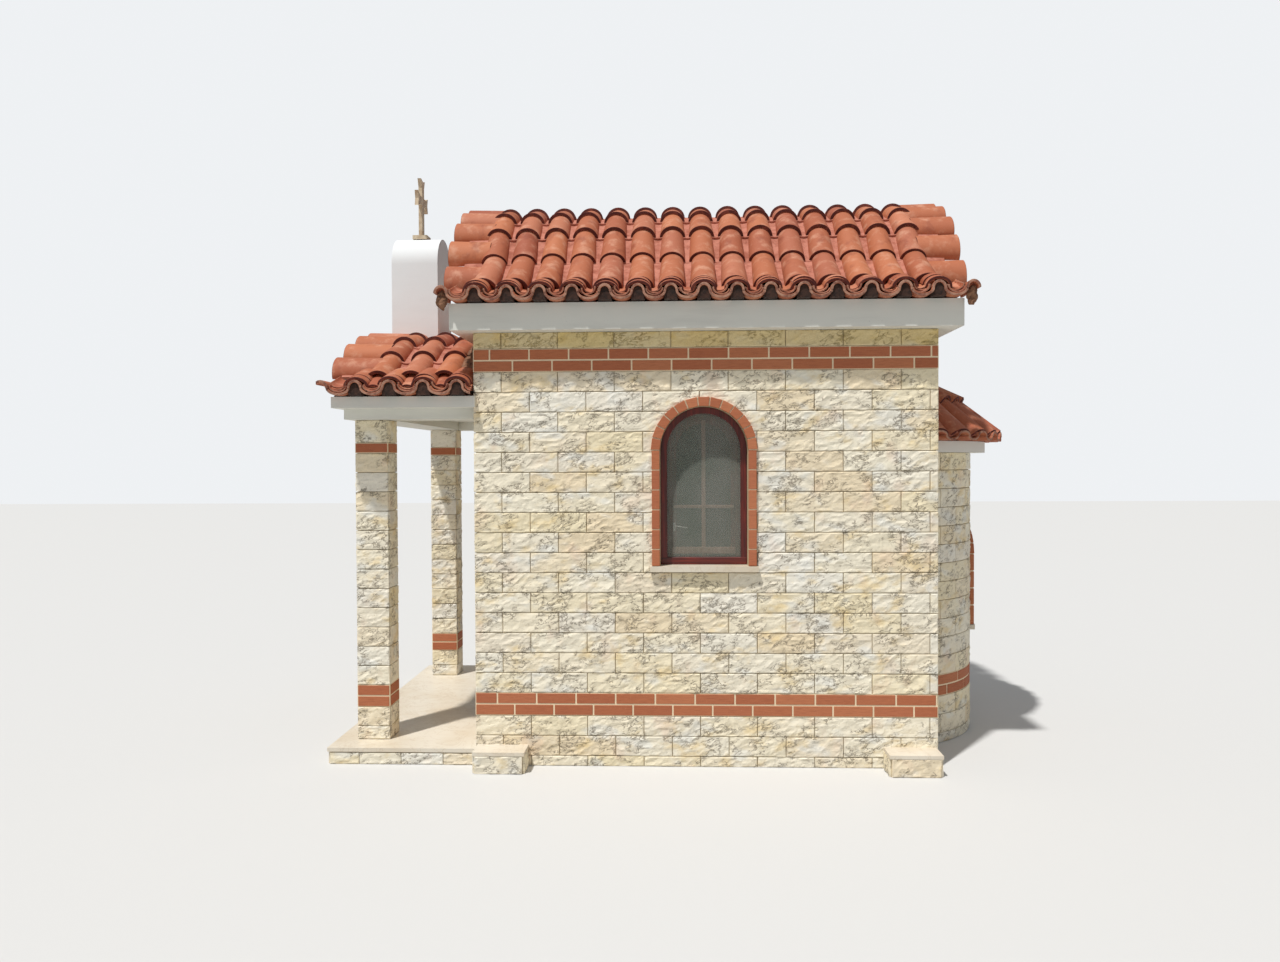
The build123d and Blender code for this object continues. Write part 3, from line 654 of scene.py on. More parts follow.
def stone_slip(width, height):
    """A stone slip that faces south, its lower west corner at the origin: a margin round a fine grid."""
    s = bpy.context.scene.chapel_stone
    inner_width = width - s.joint - 2 * s.margin
    inner_height = height - s.joint - 2 * s.margin
    centre = (width / 2, 0, height / 2)
    bpy.ops.object.select_all(action="DESELECT")
    bpy.ops.mesh.primitive_grid_add(
        x_subdivisions=max(1, round(inner_width / SPLIT_CELL[0])),
        y_subdivisions=max(1, round(inner_height / SPLIT_CELL[1])),
        size=1,
        location=centre,
        rotation=(math.pi / 2, 0, 0),
    )
    slip = apply_place(bpy.context.object, (inner_width, inner_height, 1))
    split_face = slip.vertex_groups.new(name="split_face")
    split_face.add(range(len(slip.data.vertices)), 1.0, "REPLACE")
    with editing(slip):
        bpy.ops.mesh.region_to_loop()
        bpy.ops.mesh.extrude_edges_move()
        grow = ((width - s.joint) / inner_width, 1, (height - s.joint) / inner_height)
        bpy.ops.transform.resize(value=grow, center_override=centre)
        bpy.ops.object.vertex_group_remove_from(use_all_groups=True)
        bpy.ops.mesh.extrude_edges_move(TRANSFORM_OT_translate={"value": (0, s.proud, 0)})
    slip.data.transform(at(0, -s.proud, 0))
    return slip


def course_spans(length, pitch, first):
    """Start and width of each stone in a course whose first stone has a given width."""
    spans = [(0.0, min(first, length))]
    x = spans[0][1]
    while x < length - 0.001:
        spans.append((x, min(pitch, length - x)))
        x += spans[-1][1]
    return spans


class Masters:
    """Pieces that are modelled once for each size and copied from then on."""

    def __init__(self, model):
        self.model, self.made = model, {}

    def copy(self, matrix, *size):
        size = tuple(round(value, 4) for value in size)
        if size not in self.made:
            self.made[size] = self.model(*size)
        return copy_at(self.made[size], matrix)

    def clear(self):
        discard(*self.made.values())


def stone_courses(name, rows, matrix):
    """Stones over a plane face. A row is its bottom, its top and the spans of its stones."""
    masters, stones = Masters(stone_slip), []
    for bottom, top, spans in rows:
        for start, width in spans:
            if width > LEAST_WIDTH:
                stones.append(masters.copy(matrix @ at(start, 0, bottom), width, top - bottom))
    masters.clear()
    return join(stones, name)


def split_relief(stones):
    """Breaks up the stones' faces into ridges and hollows that run up a slant."""
    depth = bpy.context.scene.chapel_stone.relief
    slope = math.radians(SPLIT_SLANT)
    bpy.ops.object.empty_add(rotation=(slope, -slope, 0))
    slant = bpy.context.object
    slant.scale = SPLIT_STRETCH
    bpy.context.view_layer.update()
    face = {"vertex_group": "split_face", "texture_coords": "OBJECT", "texture_coords_object": slant}
    broad = {"noise_scale": 0.07, "noise_depth": 3}
    ridges = {"musgrave_type": "RIDGED_MULTIFRACTAL", "noise_scale": 0.06}
    displace(stones, "broad_split", "CLOUDS", broad, strength=depth, mid_level=0.4, **face)
    displace(stones, "split_ridges", "MUSGRAVE", ridges, strength=depth * 0.45, mid_level=0.5, **face)
    discard(slant)
    return give(stones, "stone")


def wall_rows(length):
    """The nave's stone courses over a wall of a given length."""
    s = bpy.context.scene.chapel_stone
    b = bpy.context.scene.chapel_brick
    spans = [course_spans(length, s.length, first) for first in (s.length, s.length / 2)]
    rows = []
    z = b.lower_band
    while z > 0.01:
        rows.append((max(z - s.height, 0), z, spans[len(rows) % 2]))
        z = rows[-1][0]
    start = b.lower_band + 2 * b.height
    count = round((b.upper_band - start) / s.height)
    step = (b.upper_band - start) / count
    rows += [(start + k * step, start + (k + 1) * step, spans[k % 2]) for k in range(count)]
    rows.append((b.upper_band + 2 * b.height, SOFFIT, spans[1]))
    return rows


def brick_slip(width, height, proud, depth, joint):
    """A brick that faces south, with worn arrises. The lower west corner of its joint is at the origin."""
    half = joint / 2
    return bevel(add_box((half, -proud, half), (width - half, depth, height - half)), 0.0022, 1)


def arch_brick(inner, outer, step, gap, proud, depth, arris):
    """A wedge brick at the head of an arch whose centre is at the origin. Step is the angle that it spans."""
    low_half = math.tan(step / 2) * inner - gap / 2
    high_half = math.tan(step / 2) * outer - gap / 2
    wedge = add_box((-low_half, -proud, inner), (low_half, depth, outer))
    with editing(wedge):
        pick(wedge, lambda place: place.z > outer - 0.001)
        bpy.ops.transform.resize(value=(high_half / low_half, 1, 1), center_override=(0, 0, outer))
    return bevel(wedge, arris, 1) if arris else wedge


def open_spans(spans, gap):
    """Spans without what lies in a gap."""
    if gap is None:
        return spans
    kept = []
    for start, width in spans:
        end = start + width
        for low, high in ((start, min(end, gap[0])), (max(start, gap[1]), end)):
            if high - low > LEAST_WIDTH:
                kept.append((low, high - low))
    return kept


class Brickwork:
    """Bricks, and the pointing between them, gathered into two pieces."""

    def __init__(self):
        self.slips, self.wedges = Masters(brick_slip), Masters(arch_brick)
        self.bricks, self.pointing = [], []

    def band(self, length, bottom, matrix, upper_first, gap=None, rows=2, height=None):
        """Rows of bricks over a strip of pointing. Upper first is the width of the second row's first."""
        b = bpy.context.scene.chapel_brick
        height = height or b.height
        for row in range(rows):
            first = upper_first if row % 2 else b.length
            for start, width in open_spans(course_spans(length, b.length, first), gap):
                place = matrix @ at(start, 0, bottom + row * height)
                self.bricks.append(self.slips.copy(place, width, height, b.proud, 0, b.joint))
        for start, width in open_spans([(0, length)], gap):
            place = matrix @ at(start, 0, bottom)
            self.pointing.append(self.slips.copy(place, width, rows * height, b.proud * 0.75, 0, 0))

    def surround(self, opening, matrix, depth, proud=0.034):
        """Bricks up an opening's jambs and round its head. Depth is how far they reach into the wall."""
        joint, recess, overlap, pitch, head_pitch = 0.007, 0.004, 0.002, 0.124, 0.073
        half, band, sill, spring = opening.half, opening.band, opening.sill, opening.spring
        count = int((spring - sill - 0.03) / pitch)
        levels = [sill] + [spring - k * pitch for k in range(count, -1, -1)]
        behind = (proud - recess, depth)
        for x in (-half - band, half):
            for bottom, top in zip(levels, levels[1:]):
                place = matrix @ at(x, 0, bottom)
                self.bricks.append(self.slips.copy(place, band, top - bottom, proud, depth, joint))
            strip = self.slips.copy(matrix @ at(x, 0, sill), band, spring - sill, *behind, joint + recess)
            self.pointing.append(strip)
        count = round(math.pi * (half + band / 2) / head_pitch)
        step = math.pi / count
        for k in range(count):
            place = matrix @ at(0, 0, spring) @ Matrix.Rotation((k + 0.5) * step - math.pi / 2, 4, "Y")
            self.bricks.append(self.wedges.copy(place, half, half + band, step, joint, proud, depth, 0.002))
            inner, outer = half + recess, half + band - recess
            self.pointing.append(self.wedges.copy(place, inner, outer, step, -overlap, *behind, 0))

    def build(self, name, wrap=None, *replaced):
        """Joins the bricks and the pointing. Wrap bends them before they get their finish."""
        self.slips.clear()
        self.wedges.clear()
        for parts, ending, material, nodes in (
            (self.bricks, "_bricks", "brick", replaced),
            (self.pointing, "_pointing", "brick_joint", ()),
        ):
            piece = join(parts, name + ending)
            if wrap:
                wrap(piece)
            settle(give(piece, material), "brick", *nodes)


def wall_matrix(origin, along):
    """Places work that faces south so that it runs along another direction from an origin."""
    x_axis = along.normalized()
    y_axis = UP.cross(x_axis)
    turn = Matrix((x_axis, y_axis, UP)).transposed()
    return Matrix.Translation(origin) @ turn.to_4x4()


# Width of the first brick in the upper row of each band
LOWER_BOND = 0.14
UPPER_BOND = 0.105


def face_wall(name, length, matrix, opening, gaps=(None, None)):
    """Stones, brick bands and pointing over one wall of the nave. Stones in the opening are left out."""
    b = bpy.context.scene.chapel_brick
    stones = stone_courses(name + "_stones", wall_rows(length), matrix)
    clear_faces(stones, opening)
    settle(split_relief(stones), "rendered_stone")
    bricks = Brickwork()
    bricks.band(length, b.lower_band, matrix, LOWER_BOND, gaps[0])
    bricks.band(length, b.upper_band, matrix, UPPER_BOND, gaps[1])
    bricks.build(name)


class Opening:
    """A round-headed opening, read from its surround and its frame."""

    def __init__(self, half, sill, top, band):
        self.half, self.sill, self.band = half, sill, band
        self.spring = top - half
        self.hidden = half + band * 0.65

    def holds(self, across, level):
        """Whether a point lies in the opening or behind its surround."""
        if level < self.sill - 0.015 or abs(across) > self.hidden:
            return False
        return level < self.spring or math.hypot(across, level - self.spring) < self.hidden


SURROUND_LOW, SURROUND_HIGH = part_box("window_surrounds")
SURROUND_BAND = 0.056
WINDOW = Opening(
    half=-SURROUND_LOW.x - SURROUND_BAND,
    sill=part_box("window_sills")[1].z,
    top=SURROUND_HIGH.z - SURROUND_BAND,
    band=SURROUND_BAND,
)
DOOR_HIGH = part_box("door_frame")[1]
DOOR = Opening(half=DOOR_HIGH.y, sill=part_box("porch_paving")[1].z, top=DOOR_HIGH.z, band=SURROUND_BAND)
APSE_WINDOW = Opening(half=0.15, sill=0.724, top=1.39, band=SURROUND_BAND)


class Barrel:
    """A barrel vault, its radius and the level of its axis read from its node."""

    def __init__(self, node):
        low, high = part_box(node)
        half, rise = high.y, high.z - low.z
        self.radius = (half**2 + rise**2) / (2 * rise)
        self.level = high.z - self.radius
        self.spring = low.z
        self.low, self.high = low, high

    def angle_at(self, level):
        return math.acos((level - self.level) / self.radius)

    def point(self, x, angle, lift=0.0):
        """A point over the vault at an angle from its crown, positive to the north."""
        reach = self.radius + lift
        return Vector((x, reach * math.sin(angle), self.level + reach * math.cos(angle)))

    @staticmethod
    def outward(angle):
        return Vector((0, math.sin(angle), math.cos(angle)))


NAVE_VAULT = Barrel("nave_vault")
PORCH_VAULT = Barrel("porch_vault")


class Apse:
    """The apse's round wall and its dome, read from their nodes."""

    def __init__(self):
        half = -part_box("apse_wall_south")[0].y
        reach = APSE_FACE - WALL_X
        self.radius = (half**2 + reach**2) / (2 * reach)
        self.axis = APSE_FACE - self.radius
        dome_low, dome_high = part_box("apse_dome")
        self.base = dome_low.z
        self.foot = dome_high.x - self.axis
        setback = WALL_X - self.axis
        crown = dome_high.z - self.base
        # The nave's wall cuts the dome in a circle, through the foot of the dome and its highest point there
        centre_drop = (self.foot**2 - setback**2 - crown**2) / (2 * crown)
        self.dome_level = self.base - centre_drop
        self.dome_radius = math.hypot(self.foot, centre_drop)
        self.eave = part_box("apse_tiles")[1].x - self.axis

    def point(self, turn, elevation, lift=0.0):
        """A point over the dome, turned from east and raised above its centre."""
        reach = self.dome_radius + lift
        out = reach * math.cos(elevation)
        return self.around(turn, out, self.dome_level + reach * math.sin(elevation))

    def around(self, turn, out, level):
        return Vector((self.axis + out * math.cos(turn), out * math.sin(turn), level))


APSE = Apse()


class CHAPEL_OT_long_walls(bpy.types.Operator):
    """Stones and bricks on the south and north walls"""

    bl_idname = "chapel.long_walls"
    bl_label = "Long walls"

    def execute(self, context):
        corner = WALL_X + context.scene.chapel_brick.proud

        def in_window(place):
            return WINDOW.holds(place.x, place.z)

        face_wall("south_wall", 2 * corner, wall_matrix((-corner, -WALL_Y, 0), EAST), in_window)
        face_wall("north_wall", 2 * corner, wall_matrix((corner, WALL_Y, 0), WEST), in_window)
        return {"FINISHED"}


class CHAPEL_OT_end_walls(bpy.types.Operator):
    """Stones and bricks on the west and east walls"""

    bl_idname = "chapel.end_walls"
    bl_label = "End walls"

    def execute(self, context):
        length, lap, jamb, apse_half = 2 * WALL_Y, 0.02, 0.036, 0.78
        band = context.scene.chapel_brick.upper_band
        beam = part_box("porch_beam")[0].z + 0.03
        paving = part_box("porch_paving")[1].z - lap
        dome_cut = math.sqrt(APSE.dome_radius**2 - (WALL_X - APSE.axis) ** 2)

        def gap(half):
            return (WALL_Y - half, WALL_Y + half) if half else None

        def band_gap(radius, level):
            """What a circle about a level on the wall takes out of the upper band."""
            return gap(math.sqrt(max(radius**2 - (band - level) ** 2, 0)))

        def behind_porch(place):
            if DOOR.holds(place.y, place.z) or place.z < paving:
                return True
            return place.z > beam and math.hypot(place.y, place.z - PORCH_VAULT.level) < PORCH_VAULT.radius

        def behind_apse(place):
            if place.z < APSE.base:
                return abs(place.y) < apse_half
            return math.hypot(place.y, place.z - APSE.dome_level) < dome_cut

        gaps = gap(DOOR.half + jamb), band_gap(PORCH_VAULT.radius + lap, PORCH_VAULT.level)
        face_wall("west_wall", length, wall_matrix((-WALL_X, WALL_Y, 0), SOUTH), behind_porch, gaps)
        gaps = gap(apse_half), band_gap(dome_cut, APSE.dome_level)
        face_wall("east_wall", length, wall_matrix((WALL_X, -WALL_Y, 0), NORTH), behind_apse, gaps)
        return {"FINISHED"}


class CHAPEL_OT_apse_wall(bpy.types.Operator):
    """Stones and brick bands round the apse"""

    bl_idname = "chapel.apse_wall"
    bl_label = "Apse wall"

    def execute(self, context):
        b = context.scene.chapel_brick
        sweep = 2 * math.acos((WALL_X + b.proud - APSE.axis) / APSE.radius)
        length = sweep * APSE.radius
        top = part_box("apse_cornice")[0].z
        rows = [(low, min(high, top), spans) for low, high, spans in wall_rows(length) if low < top]
        flat = at(-length / 2, 0, 0)
        stones = stone_courses("apse_wall_stones", rows, flat)
        clear_faces(stones, lambda place: APSE_WINDOW.holds(place.x, place.z))
        settle(wrap_round(split_relief(stones), length), "rendered_stone")
        bricks = Brickwork()
        bricks.band(length, b.lower_band, flat, LOWER_BOND)
        bricks.build("apse", lambda piece: wrap_round(piece, length))
        return {"FINISHED"}


def wrap_round(thing, length):
    """Bends flat work that faces south round the apse, so that its middle faces east."""
    cuts = round(length / 0.05)
    with editing(thing):
        for k in range(1, cuts):
            bpy.ops.mesh.select_all(action="SELECT")
            bpy.ops.mesh.bisect(plane_co=(-length / 2 + length * k / cuts, 0, 0), plane_no=(1, 0, 0))
    for vertex in thing.data.vertices:
        vertex.co = APSE.around(vertex.co.x / APSE.radius, APSE.radius - vertex.co.y, vertex.co.z)
    return thing


class CHAPEL_OT_columns(bpy.types.Operator):
    """Stones and bricks on the porch's two columns"""

    bl_idname = "chapel.columns"
    bl_label = "Porch columns"

    def execute(self, context):
        s = context.scene.chapel_stone
        b = context.scene.chapel_brick
        low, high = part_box("porch_columns")
        side = high.x - low.x
        first_course, single_row, row_height = 0.1926, 1.984, 0.067
        band_top = b.lower_band + 2 * b.height
        count = round((single_row - band_top) / s.height)
        step = (single_row - band_top) / count
        levels = [(low.z, first_course), (first_course, b.lower_band)]
        levels += [(band_top + k * step, band_top + (k + 1) * step) for k in range(count)]
        levels.append((single_row + row_height, high.z))
        stones, bricks = [], Brickwork()
        for middle in (low.y + side / 2, high.y - side / 2):
            centre = Vector(((low.x + high.x) / 2, middle, 0))
            for along in (EAST, WEST, NORTH, SOUTH):
                width = side + 2 * s.proud if along.x else side
                matrix = wall_matrix(centre - UP.cross(along) * side / 2 - along * width / 2, along)
                rows = [(bottom, top, [(0, width)]) for bottom, top in levels]
                stones.append(stone_courses("column_stones", rows, matrix))
                bricks.band(width, b.lower_band, matrix, width)
                bricks.band(width, single_row, matrix, width, rows=1, height=row_height)
        settle(split_relief(join(stones, "column_stones")), "rendered_stone")
        bricks.build("column")
        return {"FINISHED"}


class CHAPEL_OT_low_stones(bpy.types.Operator):
    """Stones round the corner plinths and the porch's riser"""

    bl_idname = "chapel.low_stones"
    bl_label = "Plinths and riser"

    def execute(self, context):
        proud = context.scene.chapel_stone.proud
        low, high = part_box("corner_plinths")
        width, depth = 0.300, high.y - WALL_Y - proud
        stones = []
        for x0 in (low.x, high.x - width):
            x1 = x0 + width
            for x, y, along, length in (
                (x0, low.y, EAST, width),
                (x1, high.y, WEST, width),
                (x0, -WALL_Y - proud, SOUTH, depth),
                (x0, high.y, SOUTH, depth),
                (x1, low.y, NORTH, depth),
                (x1, WALL_Y + proud, NORTH, depth),
            ):
                stone = [(0.0, high.z, [(0, length)])]
                stones.append(stone_courses("plinth", stone, wall_matrix((x, y, 0), along)))
        low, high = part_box("porch_base")
        run, front = high.x - low.x, high.y - low.y
        stone_length, first_stone, paving_joint = 0.27, 0.19, 0.004
        for x, y, along, length in (
            (low.x, low.y, EAST, run - proud),
            (high.x, high.y, WEST, run),
            (low.x, high.y, SOUTH, front),
        ):
            riser = [(0.0, high.z - paving_joint, course_spans(length, stone_length, first_stone))]
            stones.append(stone_courses("riser", riser, wall_matrix((x, y, 0), along)))
        settle(split_relief(join(stones, "low_stones")), "rendered_stone")
        return {"FINISHED"}


# Roof tiles


class TileSettings(bpy.types.PropertyGroup):
    width: metres("Cover width", "Width of a cover tile at its lower rim", 0.172)
    height: metres("Cover height", "Height of a cover tile at its lower rim", 0.082)
    taper: factor("Taper", "Width of a tile's upper end against its rim", 0.85)
    wall: metres("Thickness", "Thickness of the clay", 0.022)
    overlap: metres("Overlap", "How far a tile reaches under the next one", 0.060)


COVER = ("clay", "clay_edge")
EAVE = ("clay", "eave_edge")
PAN = ("pan",)
HEAD_DROP = 0.86
OVERHANG = 0.002
CUP_SHARE = 0.64
TILE_CREST = 0.095
NEAR = 0.0005
SOUTH_AND_NORTH = (-1, 1)

# A covered barrel vault: its files' places along X, its rims' angles, and its eave's reach and level
Roof = namedtuple("Roof", "vault files rims eave")


def half_pipe(foot, head, length, wall, slots, faces=12, rows=1, arris=0.002):
    """A tapered half-round tile along Y from the origin. Foot and head are half widths and heights."""
    tile = apply_place(add_tube(2 * faces, 1, 1, (0, 0.5, 0)), (foot[0], length, foot[1]))
    with editing(tile):
        bpy.ops.mesh.bisect(plane_co=(0, 0, 0), plane_no=UP, clear_inner=True)
        pick(tile, lambda place: place.y > length / 2)
        narrow = (head[0] / foot[0], 1, head[1] / foot[1])
        bpy.ops.transform.resize(value=narrow, center_override=(0, length, 0))
        for row in range(1, rows):
            bpy.ops.mesh.select_all(action="SELECT")
            bpy.ops.mesh.bisect(plane_co=(0, length * row / rows, 0), plane_no=(0, 1, 0))
    give(tile, *slots)
    apply_modifier(tile, "SOLIDIFY", thickness=wall, offset=-1, material_offset_rim=1)
    return bevel(tile, arris, 1) if arris else tile


def upside_down(tile, depth):
    """Turns a tile over along its length, its lowest line at the origin."""
    tile.data.transform(at(0, 0, depth) @ Matrix.Rotation(math.pi, 4, "Y"))
    return tile


def lay(master, foot, head, outward, length, rng, wobble=0.6):
    """A copy of a tile that lies from foot to head, its back turned outward."""
    along = (head - foot).normalized()
    across = along.cross(outward).normalized()
    normal = across.cross(along)
    turn = Matrix((across, along, normal)).transposed().to_4x4()
    tilt = Matrix.Rotation(math.radians(rng.uniform(-wobble, wobble)), 4, "Z")
    roll = Matrix.Rotation(math.radians(rng.uniform(-wobble, wobble) * 2), 4, "Y")
    stretch = Matrix.Diagonal((1, (head - foot).length / length, 1, 1))
    return copy_at(master, Matrix.Translation(foot) @ turn @ tilt @ roll @ stretch)


def hand_made(tiles, dents=0.004):
    """Slight dents of hand-pressed clay."""
    soft = {"noise_scale": 0.16, "noise_depth": 1}
    displace(tiles, "clay_dents", "CLOUDS", soft, strength=dents, mid_level=0.5, texture_coords="GLOBAL")
    return smooth(tiles)


def spread(count, pitch, middle=0.0):
    """Evenly spaced places about a middle."""
    return [middle + (k - (count - 1) / 2) * pitch for k in range(count)]


def cover_vault(roof, name, gutters, seed):
    """Covers and channel tiles over a vault, in courses that step down to its eaves."""
    t = bpy.context.scene.chapel_tile
    rng = random.Random(seed)
    vault, rims = roof.vault, roof.rims
    length = vault.radius * (rims[0] - rims[1]) + t.overlap
    foot, head = (t.width / 2, t.height), (t.width / 2 * t.taper, t.height * HEAD_DROP)
    cover = half_pipe(foot, head, length, t.wall, COVER, faces=14, rows=2)
    foot, head = (0.064, 0.036), (0.058, 0.034)
    channel = upside_down(half_pipe(foot, head, length, 0.014, PAN, faces=8), foot[1])
    covers, channels = [], []
    slip = t.overlap / vault.radius
    reach, level = roof.eave
    # The lowest course lies flatter than the vault, so its heads are tucked in under the next rims
    brink = vault.point(0, rims[0])
    tuck = 0.05 * (rims[0] - math.atan2(brink.z - level, reach - brink.y))
    for side in SOUTH_AND_NORTH:
        for master, lines, kept, lift, back, down, drop in (
            (cover, roof.files, covers, 0.013, 0.0, 0.0, 0.0),
            (channel, gutters, channels, 0.004, -0.006, 0.012, 0.045),
        ):
            for x in lines:
                for lower, upper in zip(rims, rims[1:]):
                    start = vault.point(x, side * (lower + down), lift)
                    end = vault.point(x, side * (upper - slip), back)
                    out = vault.outward(side * (lower + upper) / 2)
                    kept.append(lay(master, start, end, out, length, rng))
                start = Vector((x, side * (reach + down), level - drop))
                end = vault.point(x, side * (rims[0] - slip), back - tuck)
                kept.append(lay(master, start, end, vault.outward(side * rims[0]), length, rng))
    discard(cover, channel)
    replaced = (name + "_tiles_south", name + "_tiles_north")
    settle(hand_made(join(covers, name + "_covers")), "roof_tile", *replaced)
    settle(hand_made(join(channels, name + "_channels")), "roof_tile")


def cover_ridge(roof, name, seed):
    """Straight covers across the crown, in two tiles that meet at the middle."""
    t = bpy.context.scene.chapel_tile
    rng = random.Random(seed)
    half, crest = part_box(name + "_ridge_tiles")[1].yz
    base, lap, taper = crest - t.height, 0.02, 0.97
    length = half + lap
    foot, head = (t.width / 2, t.height), (t.width / 2 * taper, t.height * taper)
    cover = half_pipe(foot, head, length, t.wall, COVER, faces=14, rows=2)
    caps = []
    for x in roof.files:
        for side in SOUTH_AND_NORTH:
            foot = Vector((x, side * half, base - 0.008))
            head = Vector((x, -side * lap, base - (0.0 if side < 0 else 0.004)))
            caps.append(lay(cover, foot, head, UP, length, rng, 0.4))
    discard(cover)
    settle(hand_made(join(caps, name + "_ridge_caps")), "roof_tile", name + "_ridge_tiles")


def eave_row(name, cups, pitch, tips, seed, tongues=(), keep=None):
    """A wavy eave row on both sides: cups with broken tile ends in them, and crests under starter tiles.

    Tongues are the x of the covers whose open feet stand over cups and get more tile ends.
    """
    rng = random.Random(seed)
    low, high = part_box(name + "_eave_tiles")
    front, base, wall, row_length, end_length = high.y - OVERHANG, low.z + OVERHANG, 0.016, 0.39, 0.2
    rise = (high.z - base - wall) / 2
    middle = base + wall / 2 + rise
    cup_half, crest_half = pitch / 2 * CUP_SHARE, pitch / 2 * (1 - CUP_SHARE)
    crest_end = (crest_half + wall / 2, rise + wall / 2)
    cup_end = (cup_half + wall / 2, rise + wall / 2)
    shard_end = (cup_half - wall * 0.6, 0.042)
    crest = half_pipe(crest_end, crest_end, row_length, wall, EAVE, faces=10, rows=2)
    cup = upside_down(half_pipe(cup_end, cup_end, row_length, wall, EAVE, faces=10, rows=2), 0)
    shard = upside_down(half_pipe(shard_end, shard_end, end_length, 0.010, EAVE, faces=8), shard_end[1])
    starter = half_pipe((0.080, 0.064), (0.074, 0.062), end_length, 0.017, COVER, faces=12)
    tongue = half_pipe((0.058, 0.050), (0.070, 0.060), end_length, 0.014, COVER, faces=12)
    # The mortar plugs under the crests are near-black: painted shade in the deep mouths.
    plug = give(half_disc(crest_half + 0.004, crest_end[1] * 2 - wall - 0.002, end_length), "eave_mortar")
    row, ends, mortar = [], [], []

    def put(kept, master, face, x, back, level, tilt=0.0, roll=0.0):
        tilt = Matrix.Rotation(math.radians(tilt), 4, "X")
        roll = Matrix.Rotation(math.radians(roll), 4, "Y")
        kept.append(copy_at(master, face @ at(x, back - front, level) @ tilt @ roll))

    for side in SOUTH_AND_NORTH:
        face = Matrix.Identity(4) if side < 0 else Matrix.Rotation(math.pi, 4, "Z")
        for x in cups:
            x *= -side
            put(row, cup, face, x, rng.uniform(0.0, 0.007), middle, roll=rng.uniform(-1.5, 1.5))
            for k in range(3):
                back = 0.008 + 0.020 * k + rng.uniform(0.0, 0.010)
                level = base + wall + 0.003 + 0.0135 * k
                shift = rng.uniform(-0.004, 0.004)
                put(ends, shard, face, x + shift, back, level, 9 + 4 * k, rng.uniform(-13, 13))
        for x in [x + pitch / 2 for x in cups[:-1]]:
            x *= -side
            put(row, crest, face, x, rng.uniform(0.0, 0.005), middle)
            put(mortar, plug, face, x, 0.012 + rng.uniform(0.0, 0.003), base + 0.001)
            for back, drop in ((0.034, 0.038), (0.082, 0.018)):
                shift, sag = rng.uniform(-0.005, 0.005), rng.uniform(0.0, 0.006)
                back += rng.uniform(-0.01, 0.014)
                put(ends, starter, face, x + shift, back, high.z - drop - sag, 17, rng.uniform(-4, 4))
        for x in tongues:
            for back, drop in ((0.050, 0.074), (0.100, 0.052)):
                back += rng.uniform(-0.008, 0.008)
                put(ends, tongue, face, -side * x, back, high.z - drop, 24, rng.uniform(-7, 7))
        for x, reach in tips:
            put(row, crest, face, -side * x, 0.0, middle)
            cut_off(row[-1], (x + reach, 0, 0), (reach, 0, 0), True)
    discard(crest, cup, shard, starter, tongue, plug)
    row, ends = join(row, name + "_eave_row"), join(ends, name + "_nested_ends")
    mortar = join(mortar, name + "_eave_mortar")
    if keep:
        for piece in (row, ends, mortar):
            cut_off(piece, *keep)
    settle(hand_made(row, 0.003), "roof_tile", name + "_eave_tiles")
    settle(hand_made(ends, 0.003), "roof_tile")
    settle(mortar, "roof_tile")


def verge_barrels(vault, name, ends, bed_x, gap, seed):
    """Half-round tiles across a vault's end, bedded in mortar. Ends gives the x of each rim and head."""
    rng = random.Random(seed)
    spacing, width, height, length, sink = 0.241, 0.226, 0.088, 0.28, -0.006
    taper, plug_inset, plug_gap = 0.93, 0.035, 0.012
    reach = vault.angle_at(vault.spring) - gap / vault.radius
    count = round(reach * vault.radius / spacing)
    step = reach / count
    foot, head = (width / 2, height), (width / 2 * taper, height * taper)
    barrel = half_pipe(foot, head, length, 0.015, COVER, faces=14, rows=2)
    plug = half_disc(width / 2 - plug_gap, height - plug_gap, 0.02)
    barrels, plugs = [], []
    for rim, inner in ends:
        along = math.copysign(1, inner - rim)
        for angle in (k * step for k in range(-count, count + 1)):
            out = vault.outward(angle)
            foot = vault.point(rim + along * (OVERHANG + rng.uniform(0, 0.008)), angle, sink)
            barrels.append(lay(barrel, foot, vault.point(inner, angle, sink), out, length, rng, 0.8))
            foot = vault.point(rim + along * plug_inset, angle, sink)
            plugs.append(lay(plug, foot, foot + Vector((along, 0, 0)), out, 1, rng))
    discard(barrel, plug)
    settle(hand_made(join(barrels, name + "_verge_barrels")), "roof_tile", name + "_verge_tiles")
    beds = [mortar_bed(vault, low, high, reach + 0.05, 0.02) for low, high in bed_x]
    settle(give(join(plugs + beds, name + "_verge_bedding"), "pan"), "roof_tile")


def half_disc(half, height, depth):
    """A half-round mortar plug that faces back along Y."""
    plug = apply_place(add_tube(24, 1, 1, (0, 0.5, 0), ends="NGON"), (half, depth, height))
    with editing(plug):
        bpy.ops.mesh.bisect(plane_co=(0, 0, 0), plane_no=UP, clear_inner=True, use_fill=True)
    return plug


def mortar_lump(place, size):
    """A ragged lump of mortar under a corner tile."""
    bpy.ops.object.select_all(action="DESELECT")
    bpy.ops.mesh.primitive_ico_sphere_add(subdivisions=4, radius=1, location=place)
    lump = apply_place(bpy.context.object, size)
    lumpy = {"noise_scale": 0.04, "noise_depth": 3}
    push = {"strength": 0.042, "mid_level": 0.5, "texture_coords": "GLOBAL"}
    return displace(lump, "mortar_lumps", "CLOUDS", lumpy, **push)


def mortar_bed(vault, x0, x1, reach, lift):
    """A shell of mortar over part of a vault."""
    middle = ((x0 + x1) / 2, 0, vault.level)
    bed = add_tube(128, vault.radius + lift, x1 - x0, middle, (0, math.pi / 2, 0))
    cut_off(bed, (0, 0, vault.level + vault.radius * math.cos(reach)), (0, 0, -1))
    return apply_modifier(bed, "SOLIDIFY", thickness=lift + 0.01, offset=-1)


